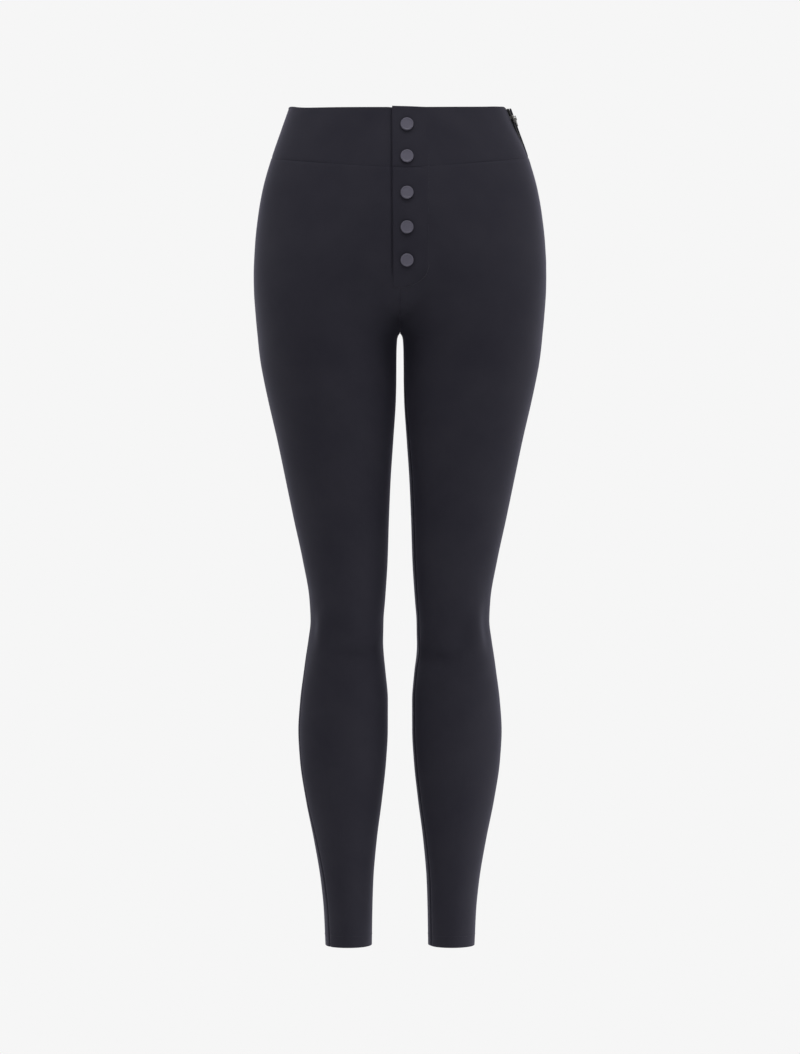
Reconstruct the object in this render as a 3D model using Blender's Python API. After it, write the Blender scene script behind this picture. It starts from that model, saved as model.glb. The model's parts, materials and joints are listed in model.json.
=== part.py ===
"""High-waisted skinny trousers with a wide waistband, a buttoned placket and a side zip.

The cloth keeps the hollow form that it has when it is worn. +X is the wearer's left, -Y the front,
+Z up. The origin is the middle of the waist opening, where the wearer's waist holds the garment.
Sizes in the tables are millimetres, and `drop` is always the distance below the waist edge.

For Blender 4.5:  blender --background --python part.py
"""

import math
from collections import namedtuple
from functools import lru_cache

import bmesh
import bpy
from mathutils import Matrix, Vector
from mathutils.bvhtree import BVHTree

MM = 0.001

# ---------------------------------------------------------------- driving sizes, millimetres

LENGTH = 984.0           # waist edge to hem, at the side
CROTCH = 263.5           # waist edge to crotch
FORK_HALF = 3.6          # half the width of the rounded fork between the legs
FORK_DEPTH = 9.0         # over this, below the crotch, the fork reaches that width
CLOTH = 1.4              # wall of a single layer of stretch cloth
BAND_CLOTH = 2.0         # wall of the doubled waistband
SEAM_GAP = 0.3           # between pieces that are sewn together, or that lie on each other
SQUARENESS = 2.15        # of every section: 2 is an ellipse, more is boxier

WAIST_DIP = 5.0          # how far the waist edge dips at the middle of the front
BAND_FRONT = 76.0        # drop of the waistband seam at the middle of the front
BAND_SIDE = 56.5         # and at the side seams
BAND_BACK = 64.0         # and at the middle of the back
BAND_CURVE = 1.4         # how the front seam of the waistband rises towards the side

PLACKET_EDGE = -9.2      # free edge of the placket, on the wearer's right of the middle
PLACKET_STITCH = 34.2    # its sewn edge, on the wearer's left
PLACKET_CLOTH = 1.1
PLACKET_LIFT = 0.45      # from the panels under it, whose edges and facets it spans
PLACKET_TURN = 190.0     # drop at which the sewn edge starts to curve in
PLACKET_END = 215.5      # drop of its bottom edge
PLACKET_FLAT = -2.0      # where that curve meets the bottom edge
PLACKET_PEAK = 1.0       # how far its top corner stands above the waistband
PLACKET_COLUMNS = 6
PLACKET_BAND_ROWS = 5
PLACKET_FRONT_ROWS = 8

BUTTON_ACROSS = 8.1      # from the middle of the front to the buttons
BUTTON_DROPS = (25.5, 63.0, 105.5, 145.5, 183.5)
BUTTON_RADIUS = 7.5
BUTTON_SEGMENTS = 28

HEM_TURN = 14.0          # depth of the turned-up hem
HEM_CLOTH = 1.0

ZIP_END = 190.0          # drop of the bottom of the side zip
ZIP_CLOSES = 10.0        # below that, the cloth edges beside the zip come together over this
ZIP_HALF_OPENING = 2.7   # from the seam line to each cloth edge beside the zip
ZIP_TOP = 2.0            # drop of the tops of the zip's tapes and teeth
ZIP_TAPE_WIDTH = 11.0
ZIP_TAPE_THICK = 0.7
ZIP_TAPE_LIFT = -3.1     # outer face of the tapes, against the outer face of the cloth
ZIP_TAPE_CLEAR = 0.7     # from the seam line to each tape
ZIP_TAPE_END = 194.0     # drop of the bottoms of the tapes
ZIP_ROWS = 14
ZIP_CHAIN_WIDTH = 3.8
ZIP_CHAIN_LIFT = -0.3    # outer face of the teeth, against the outer face of the cloth
ZIP_CHAIN_TOP = 14.0     # drops of the closed teeth, under the slider, and of their end
ZIP_CHAIN_END = 186.0
ZIP_STOP_END = 189.0
ZIP_OPEN_NEAR = 0.75     # the open teeth above the slider, from the seam line
ZIP_OPEN_FAR = 2.3
SLIDER_DROP = 12.5       # middle of the slider
SLIDER_HALF = 4.6        # half its length
SLIDER_PLATE = 1.0
SLIDER_LIFT = 0.4        # from the cloth to the underside of the top plate
BRIDGE_WIDTH = 1.5
BRIDGE_LENGTH = 5.6
BRIDGE_TUNNEL = 1.7      # height of the tunnel under the bridge
BRIDGE_BAR = 0.8
SUNK = 0.3               # how far one piece of the slider runs into the next before they are joined
PULL_THICK = 0.9
PULL_WINDOW = 2.3        # width of the window that straddles the bridge
PULL_WINDOW_END = 4.2    # how far it runs down from the hinge
PULL_REST_TILT = 2.0     # degrees that the pull leans in towards the cloth at rest

# ---------------------------------------------------------------- tables

# One row a height. outer: mid-plane to the outside of the leg. belly and seat: how far the leg's
# ring runs past the mid-plane in front and behind, and below the crotch minus half the gap between
# the legs. front and back: the foremost and rearmost points. side: how far behind the axis the
# widest line lies.
Section = namedtuple("Section", "drop outer belly seat front back side")
SECTIONS = (
    Section(0.0, 131.3, 131.3, 131.3, 88.0, 86.0, 0.0),       # waist edge
    Section(24.0, 139.8, 139.0, 138.0, 91.5, 90.5, 0.0),
    Section(59.0, 151.8, 150.0, 147.0, 96.5, 98.5, 0.0),      # waistband seam
    Section(94.0, 161.6, 152.0, 142.0, 101.0, 107.0, 0.0),
    Section(124.0, 166.9, 134.0, 122.0, 103.5, 113.5, 0.5),
    Section(159.0, 170.7, 99.0, 90.0, 104.0, 118.5, 1.0),
    Section(195.0, 172.3, 62.0, 58.0, 102.5, 119.5, 1.5),     # hips
    Section(214.0, 172.0, 39.5, 39.5, 101.2, 117.5, 2.0),
    Section(230.0, 171.0, 23.8, 25.0, 99.8, 114.5, 2.0),
    Section(246.0, 169.7, 10.8, 12.0, 98.3, 110.3, 2.0),
    Section(256.0, 168.8, 4.2, 4.8, 97.4, 107.3, 2.0),
    Section(263.5, 168.0, 0.0, 0.0, 96.7, 105.0, 2.0),        # crotch
    Section(271.0, 167.3, -2.7, -2.7, 96.0, 102.7, 1.8),
    Section(283.0, 166.1, -4.1, -4.1, 94.8, 99.0, 1.4),
    Section(300.0, 163.8, -4.4, -4.4, 93.0, 94.2, 0.7),
    Section(318.0, 160.4, -4.5, -4.5, 91.2, 89.8, 0.0),
    Section(342.0, 155.3, -5.1, -5.1, 88.5, 84.5, -1.5),
    Section(389.0, 144.4, -8.1, -8.1, 82.5, 75.5, -4.0),      # mid-thigh
    Section(437.0, 134.3, -11.3, -11.3, 76.5, 67.0, -6.0),
    Section(484.0, 124.5, -13.3, -13.3, 71.5, 59.0, -7.5),
    Section(531.0, 114.3, -14.8, -14.8, 67.8, 52.0, -8.5),
    Section(578.0, 106.2, -17.8, -17.8, 65.3, 47.0, -9.0),
    Section(602.0, 105.0, -19.7, -19.7, 63.8, 46.0, -8.5),    # knee
    Section(625.0, 107.7, -20.1, -20.1, 61.3, 47.0, -6.5),
    Section(645.0, 110.8, -19.0, -19.0, 58.8, 50.0, -4.0),    # under the kneecap
    Section(661.0, 113.0, -17.5, -17.5, 57.2, 53.0, -2.0),
    Section(696.0, 117.5, -14.5, -14.5, 54.3, 58.5, 1.5),
    Section(732.0, 119.8, -14.6, -14.6, 50.8, 61.5, 4.0),     # calf
    Section(767.0, 117.9, -16.5, -16.5, 47.0, 61.0, 5.5),
    Section(814.0, 110.9, -21.5, -21.5, 42.5, 56.5, 6.0),
    Section(861.0, 101.4, -27.6, -27.6, 39.5, 51.0, 5.5),
    Section(909.0, 93.3, -31.7, -31.7, 38.5, 48.0, 5.0),      # ankle
    Section(944.0, 89.7, -32.8, -32.8, 39.5, 48.0, 4.5),
    Section(984.0, 87.8, -33.4, -33.4, 41.0, 49.0, 4.0),      # hem
)

# A button's outline, from the middle of its sunken face out to its rim and back underneath.
ButtonPoint = namedtuple("ButtonPoint", "radius height")
BUTTON_OUTLINE = (
    ButtonPoint(0.0, 2.05), ButtonPoint(5.6, 2.05), ButtonPoint(6.1, 2.4), ButtonPoint(6.9, 2.4),
    ButtonPoint(BUTTON_RADIUS, 1.7), ButtonPoint(BUTTON_RADIUS, 0.5), ButtonPoint(7.0, 0.0),
    ButtonPoint(0.0, 0.0),
)

# Right-hand halves of the flat outlines of the slider's plates, its wedge and the pull.
PlatePoint = namedtuple("PlatePoint", "across up")
SLIDER_OUTLINE = (
    PlatePoint(2.7, -SLIDER_HALF), PlatePoint(3.6, 0.5), PlatePoint(3.3, 3.5), PlatePoint(2.3, SLIDER_HALF),
)
WEDGE_OUTLINE = (PlatePoint(0.25, 0.5), PlatePoint(0.5, SLIDER_HALF))
PULL_OUTLINE = (
    PlatePoint(0.7, -10.0), PlatePoint(1.7, -9.5), PlatePoint(2.2, -8.4),
    PlatePoint(2.2, -PULL_WINDOW_END), PlatePoint(1.8, PULL_THICK / 2),
)

# Where the seams run: degrees that each one is turned from the widest line towards the front.
SeamTurn = namedtuple("SeamTurn", "drop right_side right_inseam left_side left_inseam")
SEAM_TURNS = (
    SeamTurn(0.0, 0.0, 0.0, 12.5, 0.0),
    SeamTurn(24.0, 0.0, 0.0, 11.0, 0.0),
    SeamTurn(44.0, 0.0, 0.0, 7.5, 0.0),
    SeamTurn(66.0, 0.0, 0.0, 3.0, 0.0),
    SeamTurn(110.0, 0.0, 0.0, 0.0, 0.0),
    SeamTurn(270.0, 0.0, 0.0, 0.0, 0.0),
    SeamTurn(342.0, 0.0, 0.0, -8.0, 13.0),
    SeamTurn(437.0, 0.0, -3.0, -15.0, 20.0),
    SeamTurn(602.0, 6.0, -8.0, -18.0, 22.0),
    SeamTurn(696.0, 15.0, -14.0, -18.0, 19.0),
    SeamTurn(790.0, 15.0, -16.0, -20.0, 21.0),
    SeamTurn(861.0, 26.0, -24.0, -24.0, 26.0),
    SeamTurn(909.0, 34.0, -30.0, -28.0, 30.0),
    SeamTurn(984.0, 39.0, -34.0, -30.0, 31.0),
)

# Rows of a leg panel below the waistband seam: where each starts at the side seam and ends at the
# middle seam or the inside leg. They fan out, so that their ends are even along the crotch seam.
PanelRow = namedtuple("PanelRow", "side end")
PANEL_ROWS = (
    *(PanelRow(drop, drop) for drop in (80.0, 98.0, 118.0, 140.0, 164.0)),
    PanelRow(ZIP_END, 193.0),
    PanelRow(ZIP_END + ZIP_CLOSES, 207.0),
    PanelRow(212.0, 217.0),
    PanelRow(222.0, 227.5),
    PanelRow(232.0, 237.5),
    PanelRow(242.0, 246.5),
    PanelRow(252.0, 254.0),
    PanelRow(262.0, 260.0),
    PanelRow(273.0, CROTCH),
    PanelRow(284.0, 266.5),
    PanelRow(296.0, 273.0),
    PanelRow(310.0, 286.0),
    PanelRow(328.0, 308.0),
    PanelRow(352.0, 338.0),
    PanelRow(382.0, 374.0),
    *(PanelRow(drop, drop) for drop in (
        416.0, 452.0, 488.0, 522.0, 554.0, 582.0, 606.0, 628.0, 650.0, 674.0, 702.0, 732.0, 764.0, 800.0,
        838.0, 878.0, 914.0, 944.0, LENGTH - HEM_TURN, LENGTH,
    )),
)
PANEL_COLUMNS = 10
BAND_ROWS = 4
LEVEL_BY = 130.0         # drop below which the rows of a panel run level

# ---------------------------------------------------------------- smooth profiles


class Profile:
    """A smooth curve through one column of a table, which never swings past its rows."""

    def __init__(self, rows, column):
        self.drops = [row.drop for row in rows]
        self.values = [getattr(row, column) for row in rows]
        steps = [b - a for a, b in zip(self.drops, self.drops[1:])]
        rises = [(b - a) / s for a, b, s in zip(self.values, self.values[1:], steps)]
        inner = [self._slope(rises[i], rises[i + 1], steps[i], steps[i + 1]) for i in range(len(rises) - 1)]
        self.slopes = [rises[0], *inner, rises[-1]]

    @staticmethod
    def _slope(before, after, step_before, step_after):
        if before * after <= 0:
            return 0.0
        first = 2 * step_after + step_before
        second = step_after + 2 * step_before
        return (first + second) / (first / before + second / after)

    def __call__(self, drop):
        drop = min(max(drop, self.drops[0]), self.drops[-1])
        i = max(k for k in range(len(self.drops) - 1) if self.drops[k] <= drop)
        step = self.drops[i + 1] - self.drops[i]
        t = (drop - self.drops[i]) / step
        near = (1 + 2 * t) * (1 - t) ** 2 * self.values[i] + t * (1 - t) ** 2 * step * self.slopes[i]
        far = t * t * (3 - 2 * t) * self.values[i + 1] - t * t * (1 - t) * step * self.slopes[i + 1]
        return near + far


FIGURE = {name: Profile(SECTIONS, name) for name in Section._fields[1:]}
TURNS = {name: Profile(SEAM_TURNS, name) for name in SeamTurn._fields[1:]}
RIGHT, LEFT = -1, 1
SIDE_NAMES = {RIGHT: "right", LEFT: "left"}

# ---------------------------------------------------------------- the cloth's outer face

SPAN_RISE = 75.0         # above the crotch, where the cloth no longer dips between the thighs
SAMPLES = 72             # steps along a section when its length is measured
NUDGE = 1.2              # step used to find a slope
SHARE_NUDGE = 0.015      # and as a share of a panel's width
SEAM_TURN = 4.0          # degrees each way, over which distance round the side seam is measured


def ring(drop, in_front):
    """Centre, half-width, full depth and widest line of one leg's ring, on its front or back half."""
    outer = FIGURE["outer"](drop)
    reach = FIGURE["belly" if in_front else "seat"](drop)
    widest = FIGURE["side"](drop)
    depth = FIGURE["front"](drop) + widest if in_front else FIGURE["back"](drop) - widest
    return (outer - reach) / 2, (outer + reach) / 2, depth, widest


def bulge(share):
    """Depth of a rounded section, as a share of its full depth, at a share of its half-width."""
    return max(0.0, 1 - abs(share) ** SQUARENESS) ** (1 / SQUARENESS)


def depth_at(across, drop, in_front):
    """How far the cloth stands from the widest line, `across` millimetres from the mid-plane.

    It is the power mean of the two legs' rings, whose power lets the cloth span the hollow between
    them well above the crotch, and follow the rings close to it.
    """
    centre, half_width, full, _ = ring(drop, in_front)
    own = full * bulge((across - centre) / half_width)
    other = full * bulge((across + centre) / half_width)
    middle = full * bulge(centre / half_width)
    rise = min(max((CROTCH - drop) / SPAN_RISE, 0.0), 1.0)
    wanted = middle + (full - middle) * rise * rise * (3 - 2 * rise)
    if other <= 0 or wanted < middle * 1.00001:
        return own
    power = math.log(2) / math.log(wanted / middle)
    return own * (1 + (other / own) ** power) ** (1 / power)


def clear_of_fork(across, drop):
    """Holds the inside of a leg out to the rounded fork below the crotch."""
    reached = min(max((drop - CROTCH) / FORK_DEPTH, 0.0), 1.0)
    half = FORK_HALF * math.sqrt(1 - (1 - reached) ** 2)
    if half == 0:
        return across
    soft = half / 2
    overlap = max(soft - abs(across - half), 0.0) / soft
    return max(across, half) + overlap * overlap * soft / 4


def cloth_point(side, drop, angle):
    """A point of the outer face. Angle 0 is the widest line, 90 the front, 180 the inside leg."""
    angle = (angle + 180) % 360 - 180 if abs(angle) > 180 else angle
    in_front = angle >= 0
    centre, half_width, _, widest = ring(drop, in_front)
    cosine = math.cos(math.radians(angle))
    across = centre + half_width * math.copysign(abs(cosine) ** (2 / SQUARENESS), cosine)
    depth = depth_at(across, drop, in_front)
    return Vector((side * clear_of_fork(across, drop), widest - depth if in_front else widest + depth, -drop))


def mid_angle(drop, in_front):
    """The angle at which a ring meets the mid-plane, or 180 below the crotch."""
    centre, half_width, _, _ = ring(drop, in_front)
    if centre >= half_width:
        return 180.0
    return 180 - math.degrees(math.acos((centre / half_width) ** (SQUARENESS / 2)))


def seam_angles(side, drop, in_front):
    """Where a panel starts at the side seam and ends at the middle seam or the inside leg."""
    name = SIDE_NAMES[side]
    start = TURNS[name + "_side"](drop)
    if drop < CROTCH:
        end = mid_angle(drop, in_front)
        return start, end if in_front else -end
    inseam = TURNS[name + "_inseam"](drop)
    return start, 180 - inseam if in_front else -180 - inseam


@lru_cache(maxsize=None)
def section_line(side, drop, in_front):
    """One panel's section as a fine line of points, and the lengths between them."""
    start, end = seam_angles(side, drop, in_front)
    line = [cloth_point(side, drop, start + (end - start) * k / SAMPLES) for k in range(SAMPLES + 1)]
    return line, [(b - a).length for a, b in zip(line, line[1:])]


def along_section(side, drop, in_front, distance):
    """A point of one panel's section, at a distance round it from the side seam's line."""
    line, steps = section_line(side, drop, in_front)
    for first, second, step in zip(line, line[1:], steps):
        if distance <= step:
            return first.lerp(second, distance / step)
        distance -= step
    return line[-1]


def facing(point, across, down, side, drop):
    """The unit normal from two tangents, turned away from the leg's own axis."""
    normal = across.cross(down).normalized()
    centre, _, _, widest = ring(drop, point.y < FIGURE["side"](drop))
    axis = Vector((side * max(centre, 0.0), widest, -drop))
    return normal if normal.dot(point - axis) > 0 else -normal


def keep_off_middle(point, side):
    """Moves a point out to half a seam gap from the mid-plane, on its own side."""
    return Vector((side * max(side * point.x, SEAM_GAP / 2), point.y, point.z))


def panel_point(side, in_front, drop, share, end_drop=None):
    """(point, normal) of a panel at a drop and a share of the way round from its side seam.

    The share is of the section at `end_drop`, where the panel's row ends.
    """
    def at(drop_there, share_there):
        gap = zip_gap(drop) if side == LEFT else SEAM_GAP / 2
        _, steps = section_line(side, end_drop or drop, in_front)
        distance = gap + share_there * (sum(steps) - gap - SEAM_GAP / 2)
        return along_section(side, drop_there, in_front, distance)

    across = at(drop, min(share + SHARE_NUDGE, 1.0)) - at(drop, max(share - SHARE_NUDGE, 0.0))
    down = at(min(drop + NUDGE, LENGTH), share) - at(max(drop - NUDGE, 0.0), share)
    point = at(drop, share)
    return keep_off_middle(point, side), facing(point, across, down, side, drop)


def zip_gap(drop):
    """From the side seam's line to the cloth beside the zip, closing to a plain seam below it."""
    closing = min(max((drop - ZIP_END) / ZIP_CLOSES, 0.0), 1.0)
    return ZIP_HALF_OPENING + (SEAM_GAP / 2 - ZIP_HALF_OPENING) * closing


def front_point(across, drop):
    """(point, normal) on the front, at a signed distance from its middle."""
    side = LEFT if across >= 0 else RIGHT

    def at(across_there, drop_there):
        depth = depth_at(abs(across_there), drop_there, True)
        return Vector((across_there, FIGURE["side"](drop_there) - depth, -drop_there))

    point = at(across, drop)
    sideways = at(across + NUDGE, drop) - at(across - NUDGE, drop)
    down = at(across, drop + NUDGE) - at(across, drop - NUDGE)
    return point, facing(point, sideways, down, side, max(drop, 0.0))


def seam_point(drop, offset):
    """(point, normal) beside the left side seam, `offset` millimetres towards the front."""
    def at(drop_there, offset_there):
        start = TURNS["left_side"](drop_there)
        ahead, behind = (cloth_point(LEFT, drop_there, start + turn) for turn in (SEAM_TURN, -SEAM_TURN))
        per_degree = (ahead - behind).length / (2 * SEAM_TURN)
        return cloth_point(LEFT, drop_there, start + offset_there / per_degree)

    across = at(drop, offset + NUDGE) - at(drop, offset - NUDGE)
    down = at(drop + NUDGE, offset) - at(drop - NUDGE, offset)
    point = at(drop, offset)
    return point, facing(point, across, down, LEFT, drop)


# ---------------------------------------------------------------- building solids


def material(name, colour, roughness, metallic=0.0):
    """A plain surface for one kind of piece."""
    made = bpy.data.materials.new(name)
    made.use_nodes = True
    shader = made.node_tree.nodes["Principled BSDF"]
    shader.inputs["Base Color"].default_value = (*colour, 1.0)
    shader.inputs["Roughness"].default_value = roughness
    shader.inputs["Metallic"].default_value = metallic
    return made


def add_object(name, bm, surface, smooth=True):
    """Turns a closed bmesh, in millimetres, into a named object in metres."""
    bmesh.ops.remove_doubles(bm, verts=bm.verts, dist=1e-4)
    bmesh.ops.recalc_face_normals(bm, faces=bm.faces)
    bmesh.ops.scale(bm, vec=Vector((MM, MM, MM)), verts=bm.verts)
    mesh = bpy.data.meshes.new(name)
    bm.to_mesh(mesh)
    bm.free()
    mesh.materials.append(surface)
    if smooth:
        mesh.shade_smooth()
        mesh.set_sharp_from_angle(angle=math.radians(40))
    made = bpy.data.objects.new(name, mesh)
    bpy.context.scene.collection.objects.link(made)
    return made


def place(made, frame):
    """Sets an object's place from a matrix whose translation is in millimetres."""
    matrix = frame.copy()
    matrix.translation = frame.translation * MM
    made.matrix_world = matrix


def wall(name, grid, lift_out, lift_in, surface, closed=False):
    """A wall of cloth between two liftings of a grid of (point, normal). Closed joins its columns up."""
    bm = bmesh.new()
    faces = [
        [[bm.verts.new(point + normal * lift) for point, normal in row] for row in grid]
        for lift in (lift_out, lift_in)
    ]
    rows, columns = len(grid), len(grid[0])
    spans = columns if closed else columns - 1
    for skin in faces:
        for r in range(rows - 1):
            for c in range(spans):
                d = (c + 1) % columns
                bm.faces.new((skin[r][c], skin[r][d], skin[r + 1][d], skin[r + 1][c]))
    outer, inner = faces
    for r in (0, rows - 1):
        for c in range(spans):
            d = (c + 1) % columns
            bm.faces.new((outer[r][c], outer[r][d], inner[r][d], inner[r][c]))
    for c in () if closed else (0, columns - 1):
        for r in range(rows - 1):
            bm.faces.new((outer[r][c], outer[r + 1][c], inner[r + 1][c], inner[r][c]))
    return add_object(name, bm, surface)


def box(centre, size, frame):
    """A bmesh box, placed in a frame."""
    bm = bmesh.new()
    bmesh.ops.create_cube(bm, size=1.0)
    bmesh.ops.scale(bm, vec=Vector(size), verts=bm.verts)
    bmesh.ops.translate(bm, vec=Vector(centre), verts=bm.verts)
    bmesh.ops.transform(bm, matrix=frame, verts=bm.verts)
    return bm


def prism(half_outline, low, high, frame):
    """A bmesh prism between two heights in a frame, from the right-hand half of its outline."""
    bm = bmesh.new()
    outline = [(point.across, point.up) for point in half_outline]
    outline += [(-point.across, point.up) for point in reversed(half_outline)]
    base = [bm.verts.new(Vector((across, up, low))) for across, up in outline]
    face = bm.faces.new(base)
    extruded = bmesh.ops.extrude_face_region(bm, geom=[face])
    top = [v for v in extruded["geom"] if isinstance(v, bmesh.types.BMVert)]
    bmesh.ops.translate(bm, vec=Vector((0, 0, high - low)), verts=top)
    bmesh.ops.transform(bm, matrix=frame, verts=bm.verts)
    return bm


def joined(name, pieces, surface, cutters=()):
    """One solid from bmesh pieces, by Boolean unions and then cuts."""
    base = add_object(name, pieces[0], surface, smooth=False)
    for bm, operation in [(b, "UNION") for b in pieces[1:]] + [(b, "DIFFERENCE") for b in cutters]:
        tool = add_object(name + "_tool", bm, surface, smooth=False)
        change = base.modifiers.new(operation.title(), "BOOLEAN")
        change.operation = operation
        change.object = tool
        bpy.context.view_layer.update()
        evaluated = base.evaluated_get(bpy.context.evaluated_depsgraph_get())
        mesh = bpy.data.meshes.new_from_object(evaluated)
        base.modifiers.clear()
        base.data = mesh
        bpy.data.objects.remove(tool)
    base.data.name = name
    return base


# ---------------------------------------------------------------- the pieces


def waist_drop(share, in_front):
    """Drop of the waist edge, at a share of the way from the side seam to the middle."""
    return WAIST_DIP * math.sin(share * math.pi / 2) if in_front else 0.0


def band_depth(share, in_front):
    """Drop of the waistband seam, at a share of the way from the side seam to the middle."""
    if in_front:
        return BAND_FRONT - (BAND_FRONT - BAND_SIDE) * (1 - share) ** BAND_CURVE
    return BAND_SIDE + (BAND_BACK - BAND_SIDE) * share


def leg_panel(side, in_front, surface):
    """A front or back panel, from the waistband seam to the hem."""
    shares = [c / PANEL_COLUMNS for c in range(PANEL_COLUMNS + 1)]
    tops = [band_depth(share, in_front) + SEAM_GAP / 2 for share in shares]
    level = band_depth(0.5, in_front)
    grid = [[panel_point(side, in_front, top, share) for top, share in zip(tops, shares)]]
    for row in PANEL_ROWS:
        slope = max(0.0, 1 - (row.side - level) / (LEVEL_BY - level))
        drops = [row.side + (row.end - row.side) * share ** 2 + slope * (top - level)
                 for top, share in zip(tops, shares)]
        end = drops[-1]
        grid.append([panel_point(side, in_front, drop, share, end) for drop, share in zip(drops, shares)])
    half = "front" if in_front else "back"
    return wall(f"{half}_{SIDE_NAMES[side]}", grid, 0.0, -CLOTH, surface)


def band_grid(side, in_front):
    """The waistband's part of one panel's width."""
    grid = []
    for r in range(BAND_ROWS + 1):
        row = []
        for c in range(PANEL_COLUMNS + 1):
            share = c / PANEL_COLUMNS
            top = waist_drop(share, in_front)
            bottom = band_depth(share, in_front) - SEAM_GAP / 2
            row.append(panel_point(side, in_front, top + (bottom - top) * r / BAND_ROWS, share))
        grid.append(row)
    return grid


def waistband(surface):
    """Two front waistbands, which end at the middle of the front, and one back waistband."""
    for side in (RIGHT, LEFT):
        wall(f"waistband_front_{SIDE_NAMES[side]}", band_grid(side, True), 0.0, -BAND_CLOTH, surface)
    right, left = band_grid(RIGHT, False), band_grid(LEFT, False)
    grid = []
    for right_row, left_row in zip(right, left):
        point, normal = right_row[-1]
        middle = (Vector((0, point.y, point.z)), Vector((0, normal.y, normal.z)).normalized())
        grid.append([*right_row[:-1], middle, *reversed(left_row[:-1])])
    wall("waistband_back", grid, 0.0, -BAND_CLOTH, surface)


def facets(names):
    """The faces of finished pieces, for finding what lies in front of or behind a point."""
    points, faces = [], []
    for name in names:
        made = bpy.data.objects[name]
        first = len(points)
        points += [made.matrix_basis @ vertex.co / MM for vertex in made.data.vertices]
        faces += [[first + index for index in polygon.vertices] for polygon in made.data.polygons]
    return BVHTree.FromPolygons(points, faces)


def on_front(tree, across, drop, lift=0.0):
    """(point, normal) on the front of finished pieces, or `lift` above the smooth cloth at their edges."""
    point, normal = front_point(across, drop)
    point = point + normal * lift
    found, _, _, _ = tree.ray_cast(Vector((across, -LENGTH, -drop)), Vector((0, 1, 0)))
    return found if found and found.y - point.y < SEAM_GAP else point, normal


def placket(surface):
    """The button placket, which laps over the middle of the front, in a band and a front part."""
    tree = facets(["waistband_front_right", "waistband_front_left", "front_right", "front_left"])

    def sewn_edge(drop):
        fall = min(max((drop - PLACKET_TURN) / (PLACKET_END - PLACKET_TURN), 0.0), 1.0)
        return PLACKET_FLAT + (PLACKET_STITCH - PLACKET_FLAT) * math.sqrt(1 - fall * fall)

    def part(name, drops):
        grid = []
        for drop in drops:
            right = sewn_edge(drop)
            row = []
            for c in range(PLACKET_COLUMNS + 1):
                share = c / PLACKET_COLUMNS
                across = PLACKET_EDGE + (right - PLACKET_EDGE) * share
                peak = PLACKET_PEAK * (1 - share) if drop == WAIST_DIP else 0.0
                point, normal = on_front(tree, across, drop)
                row.append((point + Vector((0, 0, peak)), normal))
            grid.append(row)
        wall(name, grid, PLACKET_LIFT + PLACKET_CLOTH, PLACKET_LIFT, surface)

    top, seam = WAIST_DIP, BAND_FRONT
    half_gap = SEAM_GAP / 2
    band_rows, front_rows = PLACKET_BAND_ROWS, PLACKET_FRONT_ROWS
    band = [top + (seam - half_gap - top) * k / band_rows for k in range(band_rows + 1)]
    straight = [seam + half_gap + (PLACKET_TURN - seam) * k / front_rows for k in range(front_rows)]
    fall = PLACKET_END - PLACKET_TURN
    curve = [PLACKET_TURN + fall * math.sin(math.radians(turn)) for turn in range(0, 91, 15)]
    part("placket_band", band)
    part("placket_front", straight + curve)


def buttons(surface):
    """Five snap caps with raised rims, seated on the placket. They share one turned mesh."""
    bm = bmesh.new()
    points = [bm.verts.new(Vector((point.radius, 0, point.height))) for point in BUTTON_OUTLINE]
    edges = [bm.edges.new(pair) for pair in zip(points, points[1:])]
    bmesh.ops.spin(
        bm, geom=points + edges, cent=(0, 0, 0), axis=(0, 0, 1),
        angle=2 * math.pi, steps=BUTTON_SEGMENTS, use_merge=True,
    )
    first = add_object("button_1", bm, surface)
    tree = facets(["placket_band", "placket_front"])
    lift = PLACKET_LIFT + PLACKET_CLOTH
    turns = [2 * math.pi * k / BUTTON_SEGMENTS for k in range(BUTTON_SEGMENTS)]
    rim = [(BUTTON_RADIUS * math.cos(turn), BUTTON_RADIUS * math.sin(turn)) for turn in turns]
    for number, drop in enumerate(BUTTON_DROPS, start=1):
        made = first
        if number > 1:
            made = bpy.data.objects.new(f"button_{number}", first.data)
            bpy.context.scene.collection.objects.link(made)
        point, normal = on_front(tree, BUTTON_ACROSS, drop, lift)
        under_rim = [on_front(tree, BUTTON_ACROSS + across, drop + down, lift)[0] for across, down in rim]
        proud = max(0.0, *((there - point).dot(normal) for there in under_rim))
        seat = Matrix.Translation(point + normal * (proud + SEAM_GAP))
        place(made, seat @ normal.to_track_quat("Z", "Y").to_matrix().to_4x4())


def hem(side, surface):
    """The turned-up hem: a ring inside the bottom of one leg, moved in from the panels' own points."""
    grid = []
    for drop in (LENGTH - HEM_TURN, LENGTH):
        front, back = (
            [panel_point(side, in_front, drop, c / PANEL_COLUMNS) for c in range(PANEL_COLUMNS + 1)]
            for in_front in (True, False)
        )
        grid.append(front + back[::-1])
    lift = -(CLOTH + SEAM_GAP)
    wall(f"hem_{SIDE_NAMES[side]}", grid, lift, lift - HEM_CLOTH, surface, closed=True)


def zip_strip(name, drops, offsets, lifts, rows, surface):
    """A strip that runs down beside the side seam, between two drops, two offsets and two lifts."""
    (top, bottom), (near, far) = drops, offsets
    levels = [top + (bottom - top) * r / rows for r in range(rows + 1)]
    grid = [[seam_point(level, near + (far - near) * c / 2) for c in range(3)] for level in levels]
    wall(name, grid, *lifts, surface)


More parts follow.
